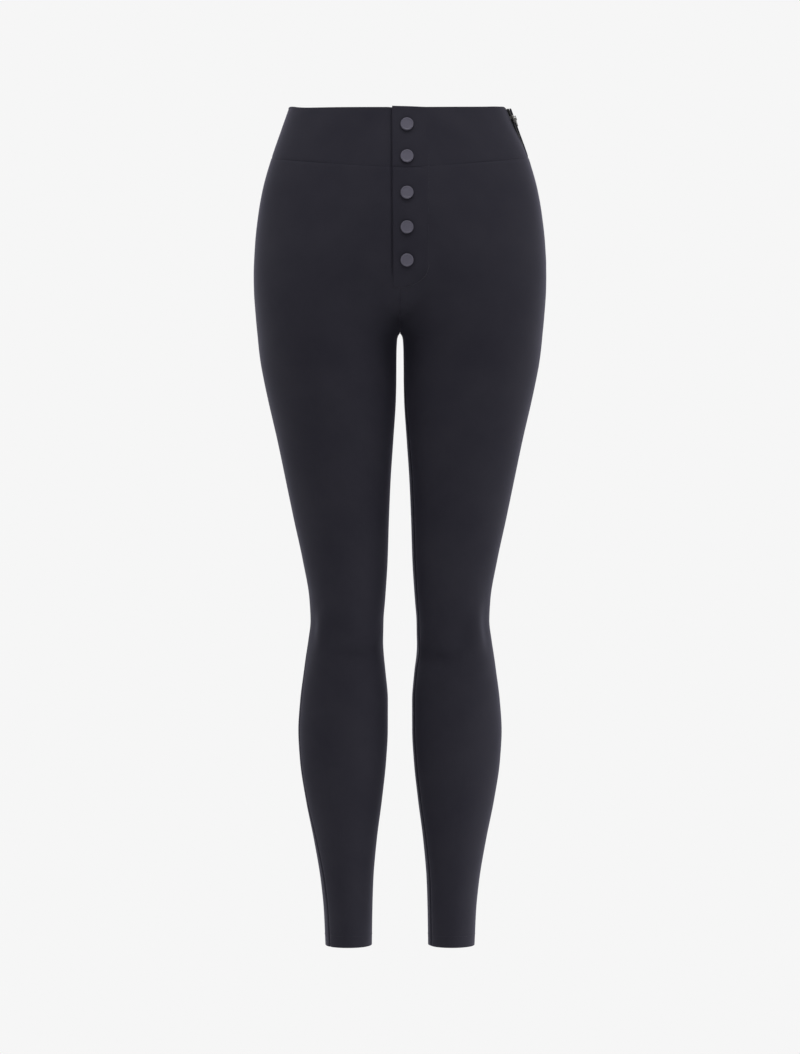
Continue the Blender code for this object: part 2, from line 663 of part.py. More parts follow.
def side_zip(tape, coil, metal):
    """The zip in the left side seam: two tapes, the closed teeth, the open teeth and a bottom stop."""
    tape_lifts = ZIP_TAPE_LIFT, ZIP_TAPE_LIFT - ZIP_TAPE_THICK
    lifts = ZIP_CHAIN_LIFT, ZIP_TAPE_LIFT + SEAM_GAP
    tape_far = ZIP_TAPE_CLEAR + ZIP_TAPE_WIDTH
    open_end = SLIDER_DROP - SLIDER_HALF - SEAM_GAP
    for name, sign in (("front", 1), ("back", -1)):
        offsets = sign * ZIP_TAPE_CLEAR, sign * tape_far
        zip_strip(f"zip_tape_{name}", (ZIP_TOP, ZIP_TAPE_END), offsets, tape_lifts, ZIP_ROWS, tape)
        offsets = sign * ZIP_OPEN_NEAR, sign * ZIP_OPEN_FAR
        zip_strip(f"zip_teeth_{name}", (ZIP_TOP, open_end), offsets, lifts, 2, coil)
    width = -ZIP_CHAIN_WIDTH / 2, ZIP_CHAIN_WIDTH / 2
    zip_strip("zip_chain", (ZIP_CHAIN_TOP, ZIP_CHAIN_END), width, lifts, ZIP_ROWS, coil)
    zip_strip("zip_stop", (ZIP_CHAIN_END + SEAM_GAP, ZIP_STOP_END), width, lifts, 1, metal)


def slider_frame():
    """Origin on the cloth under the slider's middle; x across the zip, y up along it, z outwards."""
    point, normal = seam_point(SLIDER_DROP, 0.0)
    along = seam_point(SLIDER_DROP - SLIDER_HALF, 0.0)[0] - seam_point(SLIDER_DROP + SLIDER_HALF, 0.0)[0]
    up = (along - normal * normal.dot(along)).normalized()
    frame = Matrix((up.cross(normal), up, normal)).transposed().to_4x4()
    frame.translation = point
    return frame


def slider(metal):
    """Top and bottom plates, the wedge that joins them and the bridge that holds the pull."""
    frame = slider_frame()
    low = SLIDER_LIFT
    top = low + SLIDER_PLATE
    under = ZIP_TAPE_LIFT - ZIP_TAPE_THICK - SEAM_GAP
    height = BRIDGE_TUNNEL + BRIDGE_BAR
    pieces = [
        prism(SLIDER_OUTLINE, low, top, frame),
        prism(WEDGE_OUTLINE, under - SUNK, low + SUNK, frame),
        prism(SLIDER_OUTLINE, under - SLIDER_PLATE, under, frame),
        box((0, 0, top + (height - SUNK) / 2), (BRIDGE_WIDTH, BRIDGE_LENGTH, height + SUNK), frame),
    ]
    inside = BRIDGE_LENGTH - 2 * BRIDGE_BAR
    tunnel = box((0, 0, top + BRIDGE_TUNNEL / 2), (2 * BRIDGE_WIDTH, inside, BRIDGE_TUNNEL), frame)
    joined("zip_slider", pieces, metal, [tunnel])


def pull_tab(metal):
    """The pull: a tab whose window straddles the bridge and whose crossbar lies in its tunnel.

    Its origin is on its hinge, which lies along its own x.
    """
    here = Matrix.Identity(4)
    half = PULL_THICK / 2
    tab = prism(PULL_OUTLINE, -half, half, here)
    window = box((0, -(half + PULL_WINDOW_END) / 2, 0),
                 (PULL_WINDOW, PULL_WINDOW_END - half, 2 * PULL_THICK), here)
    made = joined("zip_pull", [tab], metal, [window])
    pivot = SLIDER_LIFT + SLIDER_PLATE + BRIDGE_TUNNEL / 2
    lean = Matrix.Rotation(math.radians(PULL_REST_TILT), 4, "X")
    place(made, slider_frame() @ Matrix.Translation((0, 0, pivot)) @ lean)


def build():
    for old in list(bpy.data.objects):
        bpy.data.objects.remove(old)
    cloth = material("stretch_twill", (0.021, 0.019, 0.027), 0.85)
    cap = material("matt_painted_snap_cap", (0.10, 0.10, 0.13), 0.55)
    tape = material("zip_tape", (0.008, 0.008, 0.010), 0.9)
    coil = material("nylon_zip_coil", (0.015, 0.015, 0.018), 0.45)
    metal = material("nickel_plated_zip", (0.55, 0.54, 0.52), 0.3, metallic=1.0)
    for side in (RIGHT, LEFT):
        leg_panel(side, True, cloth)
        leg_panel(side, False, cloth)
        hem(side, cloth)
    waistband(cloth)
    placket(cloth)
    buttons(cap)
    side_zip(tape, coil, metal)
    slider(metal)
    pull_tab(metal)


build()
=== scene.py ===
# Skinny trousers in stretch twill: the looks. Lengths in the tables are millimetres, and a drop is
# the distance below the waist edge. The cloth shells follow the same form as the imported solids.
import json
import math
import bpy
import bmesh
import numpy as np
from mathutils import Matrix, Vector

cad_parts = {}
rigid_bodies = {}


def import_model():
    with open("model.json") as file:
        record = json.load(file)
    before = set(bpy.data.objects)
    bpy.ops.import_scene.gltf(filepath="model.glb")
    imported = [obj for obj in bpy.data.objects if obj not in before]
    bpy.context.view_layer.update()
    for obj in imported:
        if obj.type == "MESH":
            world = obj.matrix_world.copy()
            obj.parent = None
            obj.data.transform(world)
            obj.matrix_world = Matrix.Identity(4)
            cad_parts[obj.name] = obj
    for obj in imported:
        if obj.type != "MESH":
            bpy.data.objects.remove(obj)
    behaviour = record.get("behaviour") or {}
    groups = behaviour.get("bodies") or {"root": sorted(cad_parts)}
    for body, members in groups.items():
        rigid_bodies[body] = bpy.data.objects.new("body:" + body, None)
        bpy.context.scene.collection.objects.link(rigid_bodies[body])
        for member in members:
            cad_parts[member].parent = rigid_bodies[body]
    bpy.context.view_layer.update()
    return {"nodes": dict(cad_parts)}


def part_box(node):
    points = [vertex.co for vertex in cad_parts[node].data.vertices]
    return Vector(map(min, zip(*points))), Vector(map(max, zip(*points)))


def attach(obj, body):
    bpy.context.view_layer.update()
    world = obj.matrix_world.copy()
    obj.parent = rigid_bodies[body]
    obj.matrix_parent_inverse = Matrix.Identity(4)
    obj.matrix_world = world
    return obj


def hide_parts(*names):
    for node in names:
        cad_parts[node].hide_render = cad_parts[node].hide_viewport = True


for old in list(bpy.data.objects):
    bpy.data.objects.remove(old)
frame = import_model()
nodes = frame["nodes"]
mm = 0.001
right, left = -1, 1
sideNames = {right: "right", left: "left"}
trousers = "trousers"        # the body that all the cloth is in
pullBody = "zip_pull"

# the form that the cloth holds
garment = {
    "length": 984.8,         # waist edge to hem, at the side
    "crotch": 263.5,
    "forkHalf": 3.6,         # half the width of the rounded fork between the legs
    "forkDepth": 9.0,
    "squareness": 2.15,      # of every section: 2 is an ellipse, more is boxier
    "spanRise": 75.0,        # above the crotch, where the cloth no longer dips between the thighs
    "seamLap": 0.1,          # how far pieces run past their seams, so that no light comes through
    "waistDip": 5.0,         # at the middle of the front
    "waistHigh": {right: 2.8, left: 0.8},    # how far it rides up beside each side seam
    "waistHighAt": {True: 0.1, False: 0.0},      # in front and behind, as shares of the way to the middle
    "waistHighWide": {True: 0.16, False: 0.12},
    "bandFront": 76.0,       # drops of the waistband seam
    "bandSide": 56.5,
    "bandBack": 64.0,
    "bandCurve": 1.4,
    "levelBy": 130.0,        # drop below which the rows of a panel run level
    "zipEnd": 190.0,
    "zipCloses": 10.0,
    "zipHalfOpening": 2.7,
    "zipGape": {True: 8.0, False: 4.0},     # how much further its front and back edges part at the top
    "zipGapeFrom": 8.0,      # drop at which they start to come together
    "zipGapeOver": 58.0,     # and over what length they do
    "middleStraight": 5.0,   # beside the middle seams, where the cloth turns straight forward or back
}

# drop, outer, belly, seat, front, back, side: how far each leg reaches outwards, past the middle in front
# and behind (minus where it stops short), forwards and backwards, and how far back its widest line lies
formRows = (
    (0.0, 131.3, 131.3, 131.3, 88.0, 86.0, 0.0),
    (24.0, 139.8, 139.0, 138.0, 91.5, 90.5, 0.0),
    (59.0, 151.8, 150.0, 147.0, 96.5, 98.5, 0.0),
    (94.0, 161.6, 152.0, 142.0, 101.0, 107.0, 0.0),
    (124.0, 166.9, 134.0, 122.0, 103.5, 113.5, 0.5),
    (159.0, 170.7, 99.0, 90.0, 104.0, 118.5, 1.0),
    (195.0, 172.3, 62.0, 58.0, 102.5, 119.5, 1.5),
    (214.0, 172.0, 39.5, 39.5, 101.2, 117.5, 2.0),
    (230.0, 171.0, 23.8, 25.0, 99.8, 114.5, 2.0),
    (246.0, 169.7, 10.8, 12.0, 98.3, 110.3, 2.0),
    (256.0, 168.8, 4.2, 4.8, 97.4, 107.3, 2.0),
    (263.5, 168.0, 0.0, 0.0, 96.7, 105.0, 2.0),
    (271.0, 167.3, -2.7, -2.7, 96.0, 102.7, 1.8),
    (283.0, 166.1, -4.1, -4.1, 94.8, 99.0, 1.4),
    (300.0, 163.8, -4.4, -4.4, 93.0, 94.2, 0.7),
    (318.0, 160.4, -4.5, -4.5, 91.2, 89.8, 0.0),
    (342.0, 155.3, -5.1, -5.1, 88.5, 84.5, -1.5),
    (389.0, 144.4, -8.1, -8.1, 82.5, 75.5, -4.0),
    (437.0, 134.3, -11.3, -11.3, 76.5, 67.0, -6.0),
    (484.0, 124.5, -13.3, -13.3, 71.5, 59.0, -7.5),
    (531.0, 114.3, -14.8, -14.8, 67.8, 52.0, -8.5),
    (578.0, 106.2, -17.8, -17.8, 65.3, 47.0, -9.0),
    (602.0, 105.0, -19.7, -19.7, 63.8, 46.0, -8.5),
    (625.0, 107.7, -20.1, -20.1, 61.3, 47.0, -6.5),
    (645.0, 110.8, -19.0, -19.0, 58.8, 50.0, -4.0),
    (661.0, 113.0, -17.5, -17.5, 57.2, 53.0, -2.0),
    (696.0, 117.5, -14.5, -14.5, 54.3, 58.5, 1.5),
    (732.0, 119.8, -14.6, -14.6, 50.8, 61.5, 4.0),
    (767.0, 117.9, -16.5, -16.5, 47.0, 61.0, 5.5),
    (814.0, 110.9, -21.5, -21.5, 42.5, 56.5, 6.0),
    (861.0, 101.4, -27.6, -27.6, 39.5, 51.0, 5.5),
    (909.0, 93.3, -31.7, -31.7, 38.5, 48.0, 5.0),
    (944.0, 89.7, -32.8, -32.8, 39.5, 48.0, 4.5),
    (984.0, 87.8, -33.4, -33.4, 41.0, 49.0, 4.0),
)
# degrees that each seam is turned from the widest line: drop, right side, right inseam, left side and
# left inseam
seamRows = (
    (0.0, 0.0, 0.0, 12.5, 0.0),
    (24.0, 0.0, 0.0, 11.0, 0.0),
    (44.0, 0.0, 0.0, 7.5, 0.0),
    (66.0, 0.0, 0.0, 3.0, 0.0),
    (110.0, 0.0, 0.0, 0.0, 0.0),
    (270.0, 0.0, 0.0, 0.0, 0.0),
    (342.0, 0.0, 0.0, -8.0, 13.0),
    (437.0, 0.0, -3.0, -15.0, 20.0),
    (602.0, 6.0, -8.0, -18.0, 22.0),
    (696.0, 15.0, -14.0, -18.0, 19.0),
    (790.0, 15.0, -16.0, -20.0, 21.0),
    (861.0, 26.0, -24.0, -24.0, 26.0),
    (909.0, 34.0, -30.0, -28.0, 30.0),
    (984.0, 39.0, -34.0, -30.0, 31.0),
)
# drops at which a row of cloth starts at the side seam and ends at the middle or the inside leg
fanRows = (
    (164.0, 164.0), (190.0, 193.0), (200.0, 207.0), (212.0, 217.0), (222.0, 227.5), (232.0, 237.5),
    (242.0, 246.5), (252.0, 254.0), (262.0, 260.0), (273.0, 263.5), (284.0, 266.5), (296.0, 273.0),
    (310.0, 286.0), (328.0, 308.0), (352.0, 338.0), (382.0, 374.0), (416.0, 416.0), (984.0, 984.0),
)


def smoothColumn(rows, column):
    # a smooth curve through one column, which never swings past its rows
    drops = np.array([row[0] for row in rows])
    values = np.array([row[column] for row in rows])
    steps = np.diff(drops)
    rises = np.diff(values) / steps
    first = 2 * steps[1:] + steps[:-1]
    second = steps[1:] + 2 * steps[:-1]
    with np.errstate(divide="ignore", invalid="ignore"):
        inner = (first + second) / (first / rises[:-1] + second / rises[1:])
    inner = np.where(rises[:-1] * rises[1:] > 0, inner, 0.0)
    slopes = np.concatenate(([rises[0]], inner, [rises[-1]]))

    def at(drop):
        drop = np.clip(drop, drops[0], drops[-1])
        row = np.clip(np.searchsorted(drops, drop, side="right") - 1, 0, len(steps) - 1)
        on = (drop - drops[row]) / steps[row]
        near = (1 + 2 * on) * (1 - on) ** 2 * values[row] + on * (1 - on) ** 2 * steps[row] * slopes[row]
        far = on * on * (3 - 2 * on) * values[row + 1] - on * on * (1 - on) * steps[row] * slopes[row + 1]
        return near + far

    return at


outerAt, bellyAt, seatAt, frontAt, backAt, sideAt = (smoothColumn(formRows, column) for column in range(1, 7))
seamTurnAt = {
    (right, "side"): smoothColumn(seamRows, 1),
    (right, "inseam"): smoothColumn(seamRows, 2),
    (left, "side"): smoothColumn(seamRows, 3),
    (left, "inseam"): smoothColumn(seamRows, 4),
}


def ring(drop, inFront):
    # centre, half-width, full depth and widest line of one leg's ring, on its front or back half
    outer, widest = outerAt(drop), sideAt(drop)
    reach = np.where(inFront, bellyAt(drop), seatAt(drop))
    depth = np.where(inFront, frontAt(drop) + widest, backAt(drop) - widest)
    return (outer - reach) / 2, (outer + reach) / 2, depth, widest


def ease(share):
    # from 0 to 1, starting and ending softly
    share = np.clip(share, 0, 1)
    return share * share * (3 - 2 * share)


def bulge(share):
    # how deep a ring is, at a share of its half-width
    return np.maximum(0.0, 1 - np.abs(share) ** garment["squareness"]) ** (1 / garment["squareness"])


def depthAt(across, drop, inFront):
    # the two legs' rings, joined by a power mean so that the cloth spans the hollow between them
    centre, halfWidth, full, _ = ring(drop, inFront)
    own = full * np.maximum(bulge((across - centre) / halfWidth), 1e-6)
    other = full * bulge((across + centre) / halfWidth)
    middle = full * bulge(centre / halfWidth)
    rise = np.clip((garment["crotch"] - drop) / garment["spanRise"], 0.0, 1.0)
    wanted = middle + (full - middle) * rise * rise * (3 - 2 * rise)
    with np.errstate(all="ignore"):
        power = math.log(2) / np.log(wanted / middle)
        joined = own * (1 + (other / own) ** power) ** (1 / power)
    return np.where((other > 0) & (wanted > middle * 1.00001), joined, own)


def clearOfFork(across, drop):
    # holds the inside of a leg out to the rounded fork below the crotch
    reached = np.clip((drop - garment["crotch"]) / garment["forkDepth"], 0.0, 1.0)
    half = garment["forkHalf"] * np.sqrt(1 - (1 - reached) ** 2)
    soft = np.maximum(half / 2, 1e-9)
    overlap = np.maximum(soft - np.abs(across - half), 0.0) / soft
    return np.where(half > 0, np.maximum(across, half) + overlap * overlap * soft / 4, across)


def clothSurface(side, drop, angle):
    # points of the outer face: angle 0 is the widest line, 90 the front, 180 the inside leg
    angle = np.where(np.abs(angle) > 180, (angle + 180) % 360 - 180, angle)
    inFront = angle >= 0
    centre, halfWidth, _, widest = ring(drop, inFront)
    cosine = np.cos(np.radians(angle))
    across = centre + halfWidth * np.sign(cosine) * np.abs(cosine) ** (2 / garment["squareness"])
    depth = depthAt(across, drop, inFront)
    across = side * clearOfFork(across, drop)
    return np.stack([across, np.where(inFront, widest - depth, widest + depth), -drop + 0 * across], axis=-1)


def frontSurface(across, drop):
    # points of the front, at signed distances from its middle
    depth = depthAt(np.abs(across), drop, True)
    return np.stack([across + 0 * drop, sideAt(drop) - depth, -drop + 0 * across], axis=-1)


# each panel's sections: the lengths round them, and the angle at each share of that length
levels = np.unique(np.concatenate([
    np.arange(0.0, 984.0, 2.0), np.arange(250.0, 275.0, 0.5), [garment["crotch"], garment["length"]],
]))
sampleShares = np.linspace(0, 1, 321)


def endAngle(side, inFront, drops):
    # where a panel ends: at the middle seam, or at the inside leg
    centre, halfWidth, _, _ = ring(drops, inFront)
    ratio = np.clip(centre / halfWidth, 0.0, 1.0)
    middle = 180 - np.degrees(np.arccos(ratio ** (garment["squareness"] / 2)))
    above = drops < garment["crotch"]
    turned = np.where(above, 0.0, seamTurnAt[side, "inseam"](drops))
    return np.where(above, middle, 180.0) * (1 if inFront else -1) - turned


def measurePanel(side, inFront):
    # how long each section of a panel is, and its angles at even shares of that length
    start = seamTurnAt[side, "side"](levels)
    end = endAngle(side, inFront, levels)
    angles = start[:, None] + (end - start)[:, None] * sampleShares
    points = clothSurface(side, levels[:, None], angles)
    runs = np.cumsum(np.linalg.norm(np.diff(points, axis=1), axis=2), axis=1)
    runs = np.concatenate([np.zeros((len(levels), 1)), runs], axis=1)
    even = [np.interp(sampleShares * run[-1], run, angle) for run, angle in zip(runs, angles)]
    return {"totals": runs[:, -1], "angles": np.array(even)}


panels = {(side, inFront): measurePanel(side, inFront) for side in (right, left) for inFront in (True, False)}


def angleAt(panel, drop, distance):
    # the angle at a distance round a panel's section, from its side seam
    above = np.clip(np.searchsorted(levels, drop, side="right") - 1, 0, len(levels) - 2)
    blend = (drop - levels[above]) / (levels[above + 1] - levels[above])

    def onLevel(level):
        place = np.clip(distance / panel["totals"][level], 0, 1) * (len(sampleShares) - 1)
        sample = np.minimum(place.astype(int), len(sampleShares) - 2)
        near, far = panel["angles"][level, sample], panel["angles"][level, sample + 1]
        return near + (far - near) * (place - sample)

    return onLevel(above) * (1 - blend) + onLevel(above + 1) * blend


def bell(share):
    # a smooth hill, 1 high in its middle
    return np.exp(-share ** 2)


def zipParted(drop):
    # how far the zip's edges still part at a drop, from 1 at the top to 0
    return 1 - ease((drop - garment["zipGapeFrom"]) / garment["zipGapeOver"])


def zipGap(side, drop, inFront):
    # from the side seam's line to the cloth: beside the zip, and below it
    if side == right:
        return 0 * drop
    closing = np.clip((drop - garment["zipEnd"]) / garment["zipCloses"], 0.0, 1.0)
    gape = garment["zipGape"][inFront] * zipParted(drop)
    return garment["zipHalfOpening"] * (1 - closing) + gape


def gridNormals(points, side):
    # unit normals of a grid of points, away from the leg's own axis
    normals = np.cross(np.gradient(points, axis=1), np.gradient(points, axis=0))
    normals /= np.maximum(np.linalg.norm(normals, axis=2, keepdims=True), 1e-9)
    drop = -points[..., 2]
    centre, _, _, widest = ring(drop, True)
    axis = np.stack([side * np.maximum(centre, 0), widest, -drop], axis=-1)
    return normals * np.sign(np.sum(normals * (points - axis)))


def panelGrid(side, inFront, drops, shares):
    # points of a panel, with the angles and the distances to its side seam and to its other seam
    panel = panels[side, inFront]
    total = np.interp(drops[:, -1], levels, panel["totals"])[:, None]
    gap = zipGap(side, drops, inFront)
    width = total - gap
    angles = angleAt(panel, drops, gap + shares * width)
    atMiddle = (shares > 0.9999) & (drops < garment["crotch"])
    angles = np.where(atMiddle, endAngle(side, inFront, drops), angles)
    points = clothSurface(side, drops, angles)
    points[..., 0] = side * np.maximum(side * points[..., 0], 0)
    for edge, beside in ((0, 1), (-1, -2)):
        step = points[:, edge] - points[:, beside]
        points[:, edge] += step / np.linalg.norm(step, axis=1, keepdims=True) * garment["seamLap"]
    normals = gridNormals(points, side)
    fromEnd = (1 - shares) * width
    straight = ease(garment["crotch"] + 1 - drops) * (1 - ease(fromEnd / garment["middleStraight"]))
    normals[..., 0] *= 1 - straight
    normals /= np.linalg.norm(normals, axis=2, keepdims=True)
    return {
        "points": points,
        "normals": normals,
        "angles": angles,
        "fromSide": shares * width,
        "fromEnd": fromEnd,
        "drops": drops,
    }


def bandSeam(share, inFront):
    # drop of the waistband seam, at a share of the way from the side seam to the middle
    if inFront:
        rise = (garment["bandFront"] - garment["bandSide"]) * (1 - share) ** garment["bandCurve"]
        return garment["bandFront"] - rise
    return garment["bandSide"] + (garment["bandBack"] - garment["bandSide"]) * share


def waistEdge(side, share, inFront):
    # drop of the waist edge
    away = (share - garment["waistHighAt"][inFront]) / garment["waistHighWide"][inFront]
    dip = garment["waistDip"] * np.sin(share * math.pi / 2) if inFront else 0
    return dip - garment["waistHigh"][side] * bell(away)


def girth(drop, which):
    # how far it is round some of the panels
    return sum(np.interp(drop, levels, panels[key]["totals"]) for key in which)


leftLeg = [(left, True), (left, False)]
print(f"form measured: waist {girth(0, panels):.0f} mm round, hips {girth(195, panels):.0f},",
      f"knee {girth(602, leftLeg):.0f}, hem {girth(984, leftLeg):.0f}")


def colourOf(hexValue):
    # an sRGB hex value as linear colour
    channels = [int(hexValue[i:i + 2], 16) / 255 for i in (1, 3, 5)]
    linear = [level / 12.92 if level <= 0.04045 else ((level + 0.055) / 1.055) ** 2.4 for level in channels]
    return (*linear, 1.0)


def addNode(tree, kind, settings=None, inputs=None):
    # adds a node with its settings, and sets or links its inputs
    node = tree.nodes.new(kind)
    for name, value in (settings or {}).items():
        setattr(node, name, value)
    for name, value in (inputs or {}).items():
        socket = node.inputs[name]
        if isinstance(value, bpy.types.NodeSocket):
            tree.links.new(value, socket)
        else:
            socket.default_value = value
    return node


mixA, mixB, mixOut = 6, 7, 2     # a Mix node's two colours and its result, by number, as their names repeat


def bandScale(pitch):
    # the scale at which a wave texture's bands are so many millimetres apart
    return math.pi / (10 * pitch * mm)


def grainScale(size):
    # the scale at which a noise texture's patches are so many millimetres wide
    return 1 / (size * mm)


def newMaterial(name, shaderInputs):
    material = bpy.data.materials.new(name)
    material.use_nodes = True
    tree = material.node_tree
    tree.nodes.clear()
    shader = addNode(tree, "ShaderNodeBsdfPrincipled", inputs=shaderInputs)
    output = addNode(tree, "ShaderNodeOutputMaterial")
    tree.links.new(shader.outputs["BSDF"], output.inputs["Surface"])
    material.diffuse_color = shader.inputs["Base Color"].default_value
    return material, tree, shader


# stretch cotton twill, ink navy, brushed smooth and matt: the eye sees an even near-black cloth,
# with a soft light nap along its turned-away sides and only a hint of the twill's slant
twill = {
    "colour": "#212029",
    "worn": "#28272F",       # painted sheen: a lighter colour, in random patches where the nap would catch the light
    "slantPitch": 1.4,       # mm. Real twill lines are 0.5 mm apart, too fine to show, so they are coarser
    "yarnPitch": 0.9,
    "yarnShare": 0.45,       # how much the yarns show in the colour, beside the nap
    "napPatch": 62.5,        # mm, the patches in which the nap lies one way
    "slant": 1.1,            # run up for each run across
    "relief": 0.05,          # mm
    "roughness": 0.85,
    "specular": 0.14,
    "sheen": 0.2,
    "sheenRoughness": 0.35,
    "sheenColour": "#A9A6C4",
}


def makeTwill():
    material, tree, shader = newMaterial("stretch_cotton_twill", {
        "Roughness": twill["roughness"],
        "Specular IOR Level": twill["specular"],
        "Sheen Weight": twill["sheen"],
        "Sheen Roughness": twill["sheenRoughness"],
        "Sheen Tint": colourOf(twill["sheenColour"]),
    })
    pattern = addNode(tree, "ShaderNodeUVMap", {"uv_map": "cloth"}).outputs["UV"]       # in metres
    slanted = addNode(tree, "ShaderNodeMapping", inputs={
        "Vector": pattern, "Rotation": (0, 0, math.atan(twill["slant"])),
    }).outputs["Vector"]
    lines = addNode(tree, "ShaderNodeTexWave", {"wave_type": "BANDS", "bands_direction": "X"}, {
        "Vector": slanted, "Scale": bandScale(twill["slantPitch"]), "Distortion": 1.2, "Detail": 2.0,
    }).outputs["Fac"]
    yarns = addNode(tree, "ShaderNodeTexNoise", inputs={
        "Vector": pattern, "Scale": grainScale(twill["yarnPitch"]), "Detail": 2.0, "Roughness": 0.6,
    }).outputs["Fac"]
    relief = addNode(tree, "ShaderNodeMath", {"operation": "ADD"}, {0: lines, 1: yarns}).outputs[0]
    bump = addNode(tree, "ShaderNodeBump", inputs={
        "Height": relief, "Strength": 0.5, "Distance": twill["relief"] * mm,
    })
    tree.links.new(bump.outputs["Normal"], shader.inputs["Normal"])
    # painted sheen: the nap's wide random patches, together with the yarns' own tone, lighten the colour
    # towards the worn colour
    nap = addNode(tree, "ShaderNodeTexNoise", inputs={
        "Vector": pattern, "Scale": grainScale(twill["napPatch"]), "Detail": 4.0, "Roughness": 0.5,
    }).outputs["Fac"]
    yarnToneAndNapSheen = addNode(tree, "ShaderNodeMath", {"operation": "MULTIPLY_ADD"}, {
        0: yarns, 1: twill["yarnShare"], 2: nap,
    }).outputs[0]
    spread = addNode(tree, "ShaderNodeMapRange", inputs={
        "Value": yarnToneAndNapSheen, "From Min": 0.45, "From Max": 1.0, "To Min": 0.0, "To Max": 1.0,
    }).outputs["Result"]
    colour = addNode(tree, "ShaderNodeMix", {"data_type": "RGBA"}, {
        "Factor": spread, mixA: colourOf(twill["colour"]), mixB: colourOf(twill["worn"]),
    }).outputs[mixOut]
    tree.links.new(colour, shader.inputs["Base Color"])
    return material


# spun polyester sewing thread, dyed to match: round, a little shinier than the cloth
thread = {
    "colour": "#302E38",
    "shade": "#232129",
    "ply": 0.625,            # mm between the shades of its twisted plies
    "roughness": 0.7,
}


def makeThread():
    material, tree, shader = newMaterial("spun_polyester_thread", {
        "Roughness": thread["roughness"], "Specular IOR Level": 0.2, "Sheen Weight": 0.08,
    })
    place = addNode(tree, "ShaderNodeTexCoord").outputs["Object"]
    ply = addNode(tree, "ShaderNodeTexNoise", inputs={
        "Vector": place, "Scale": grainScale(thread["ply"]), "Detail": 1.0,
    }).outputs["Fac"]
    colour = addNode(tree, "ShaderNodeMix", {"data_type": "RGBA"}, {
        "Factor": ply, mixA: colourOf(thread["shade"]), mixB: colourOf(thread["colour"]),
    }).outputs[mixOut]
    tree.links.new(colour, shader.inputs["Base Color"])
    bump = addNode(tree, "ShaderNodeBump", inputs={"Height": ply, "Strength": 0.4, "Distance": 0.05 * mm})
    tree.links.new(bump.outputs["Normal"], shader.inputs["Normal"])
    return material


# pressed brass snap cap, spray-painted matt violet-grey: flat even colour with the least orange peel
snapPaint = {
    "colour": "#4C4A56",
    "mottle": "#53515D",
    "mottlePatch": 3.85,     # mm
    "roughness": 0.55,
    "peel": 0.02,            # mm, how high the orange peel stands
    "peelGrain": 1.11,       # and how wide it is
}


def makeSnapPaint():
    material, tree, shader = newMaterial("matt_painted_snap_cap", {
        "Roughness": snapPaint["roughness"], "Specular IOR Level": 0.25,
    })
    place = addNode(tree, "ShaderNodeTexCoord").outputs["Object"]
    peel = addNode(tree, "ShaderNodeTexNoise", inputs={
        "Vector": place, "Scale": grainScale(snapPaint["peelGrain"]), "Detail": 2.0,
    }).outputs["Fac"]
    bump = addNode(tree, "ShaderNodeBump", inputs={
        "Height": peel, "Strength": 0.5, "Distance": snapPaint["peel"] * mm,
    })
    tree.links.new(bump.outputs["Normal"], shader.inputs["Normal"])
    mottle = addNode(tree, "ShaderNodeTexNoise", inputs={
        "Vector": place, "Scale": grainScale(snapPaint["mottlePatch"]), "Detail": 3.0,
    }).outputs["Fac"]
    colour = addNode(tree, "ShaderNodeMix", {"data_type": "RGBA"}, {
        "Factor": mottle, mixA: colourOf(snapPaint["colour"]), mixB: colourOf(snapPaint["mottle"]),
    }).outputs[mixOut]
    tree.links.new(colour, shader.inputs["Base Color"])
    return material


# woven polyester zip tape, black: flat, with fine ribs along it
zipTape = {
    "colour": "#0E0E10",
    "rib": "#17171A",
    "ribPitch": 0.8,         # mm
    "weftPitch": 0.4,
}


def makeZipTape():
    material, tree, shader = newMaterial("woven_zip_tape", {
        "Roughness": 0.8, "Specular IOR Level": 0.2, "Sheen Weight": 0.05,
    })
    pattern = addNode(tree, "ShaderNodeUVMap", {"uv_map": "cloth"}).outputs["UV"]
    ribs = addNode(tree, "ShaderNodeTexWave", {"wave_type": "BANDS", "bands_direction": "X"}, {
        "Vector": pattern, "Scale": bandScale(zipTape["ribPitch"]), "Distortion": 0.4,
    }).outputs["Fac"]
    weft = addNode(tree, "ShaderNodeTexWave", {"wave_type": "BANDS", "bands_direction": "Y"}, {
        "Vector": pattern, "Scale": bandScale(zipTape["weftPitch"]), "Distortion": 0.6,
    }).outputs["Fac"]
    relief = addNode(tree, "ShaderNodeMath", {"operation": "ADD"}, {0: ribs, 1: weft}).outputs[0]
    bump = addNode(tree, "ShaderNodeBump", inputs={"Height": relief, "Strength": 0.7, "Distance": 0.08 * mm})
    tree.links.new(bump.outputs["Normal"], shader.inputs["Normal"])
    colour = addNode(tree, "ShaderNodeMix", {"data_type": "RGBA"}, {
        "Factor": ribs, mixA: colourOf(zipTape["colour"]), mixB: colourOf(zipTape["rib"]),
    }).outputs[mixOut]
    tree.links.new(colour, shader.inputs["Base Color"])
    return material


# nylon zip coil, drawn and wound, black: a satin plastic that gives small highlights
zipNylon = {
    "colour": "#121214",
    "streak": "#1D1D21",
    "streakGrain": 0.83,     # mm
    "roughness": 0.34,
}


def makeZipNylon():
    material, tree, shader = newMaterial("nylon_zip_coil", {
        "Roughness": zipNylon["roughness"], "Specular IOR Level": 0.5,
    })
    place = addNode(tree, "ShaderNodeTexCoord").outputs["Object"]
    streaks = addNode(tree, "ShaderNodeTexNoise", inputs={
        "Vector": place, "Scale": grainScale(zipNylon["streakGrain"]),
    }).outputs["Fac"]
    colour = addNode(tree, "ShaderNodeMix", {"data_type": "RGBA"}, {
        "Factor": streaks, mixA: colourOf(zipNylon["colour"]), mixB: colourOf(zipNylon["streak"]),
    }).outputs[mixOut]
    tree.links.new(colour, shader.inputs["Base Color"])
    return material


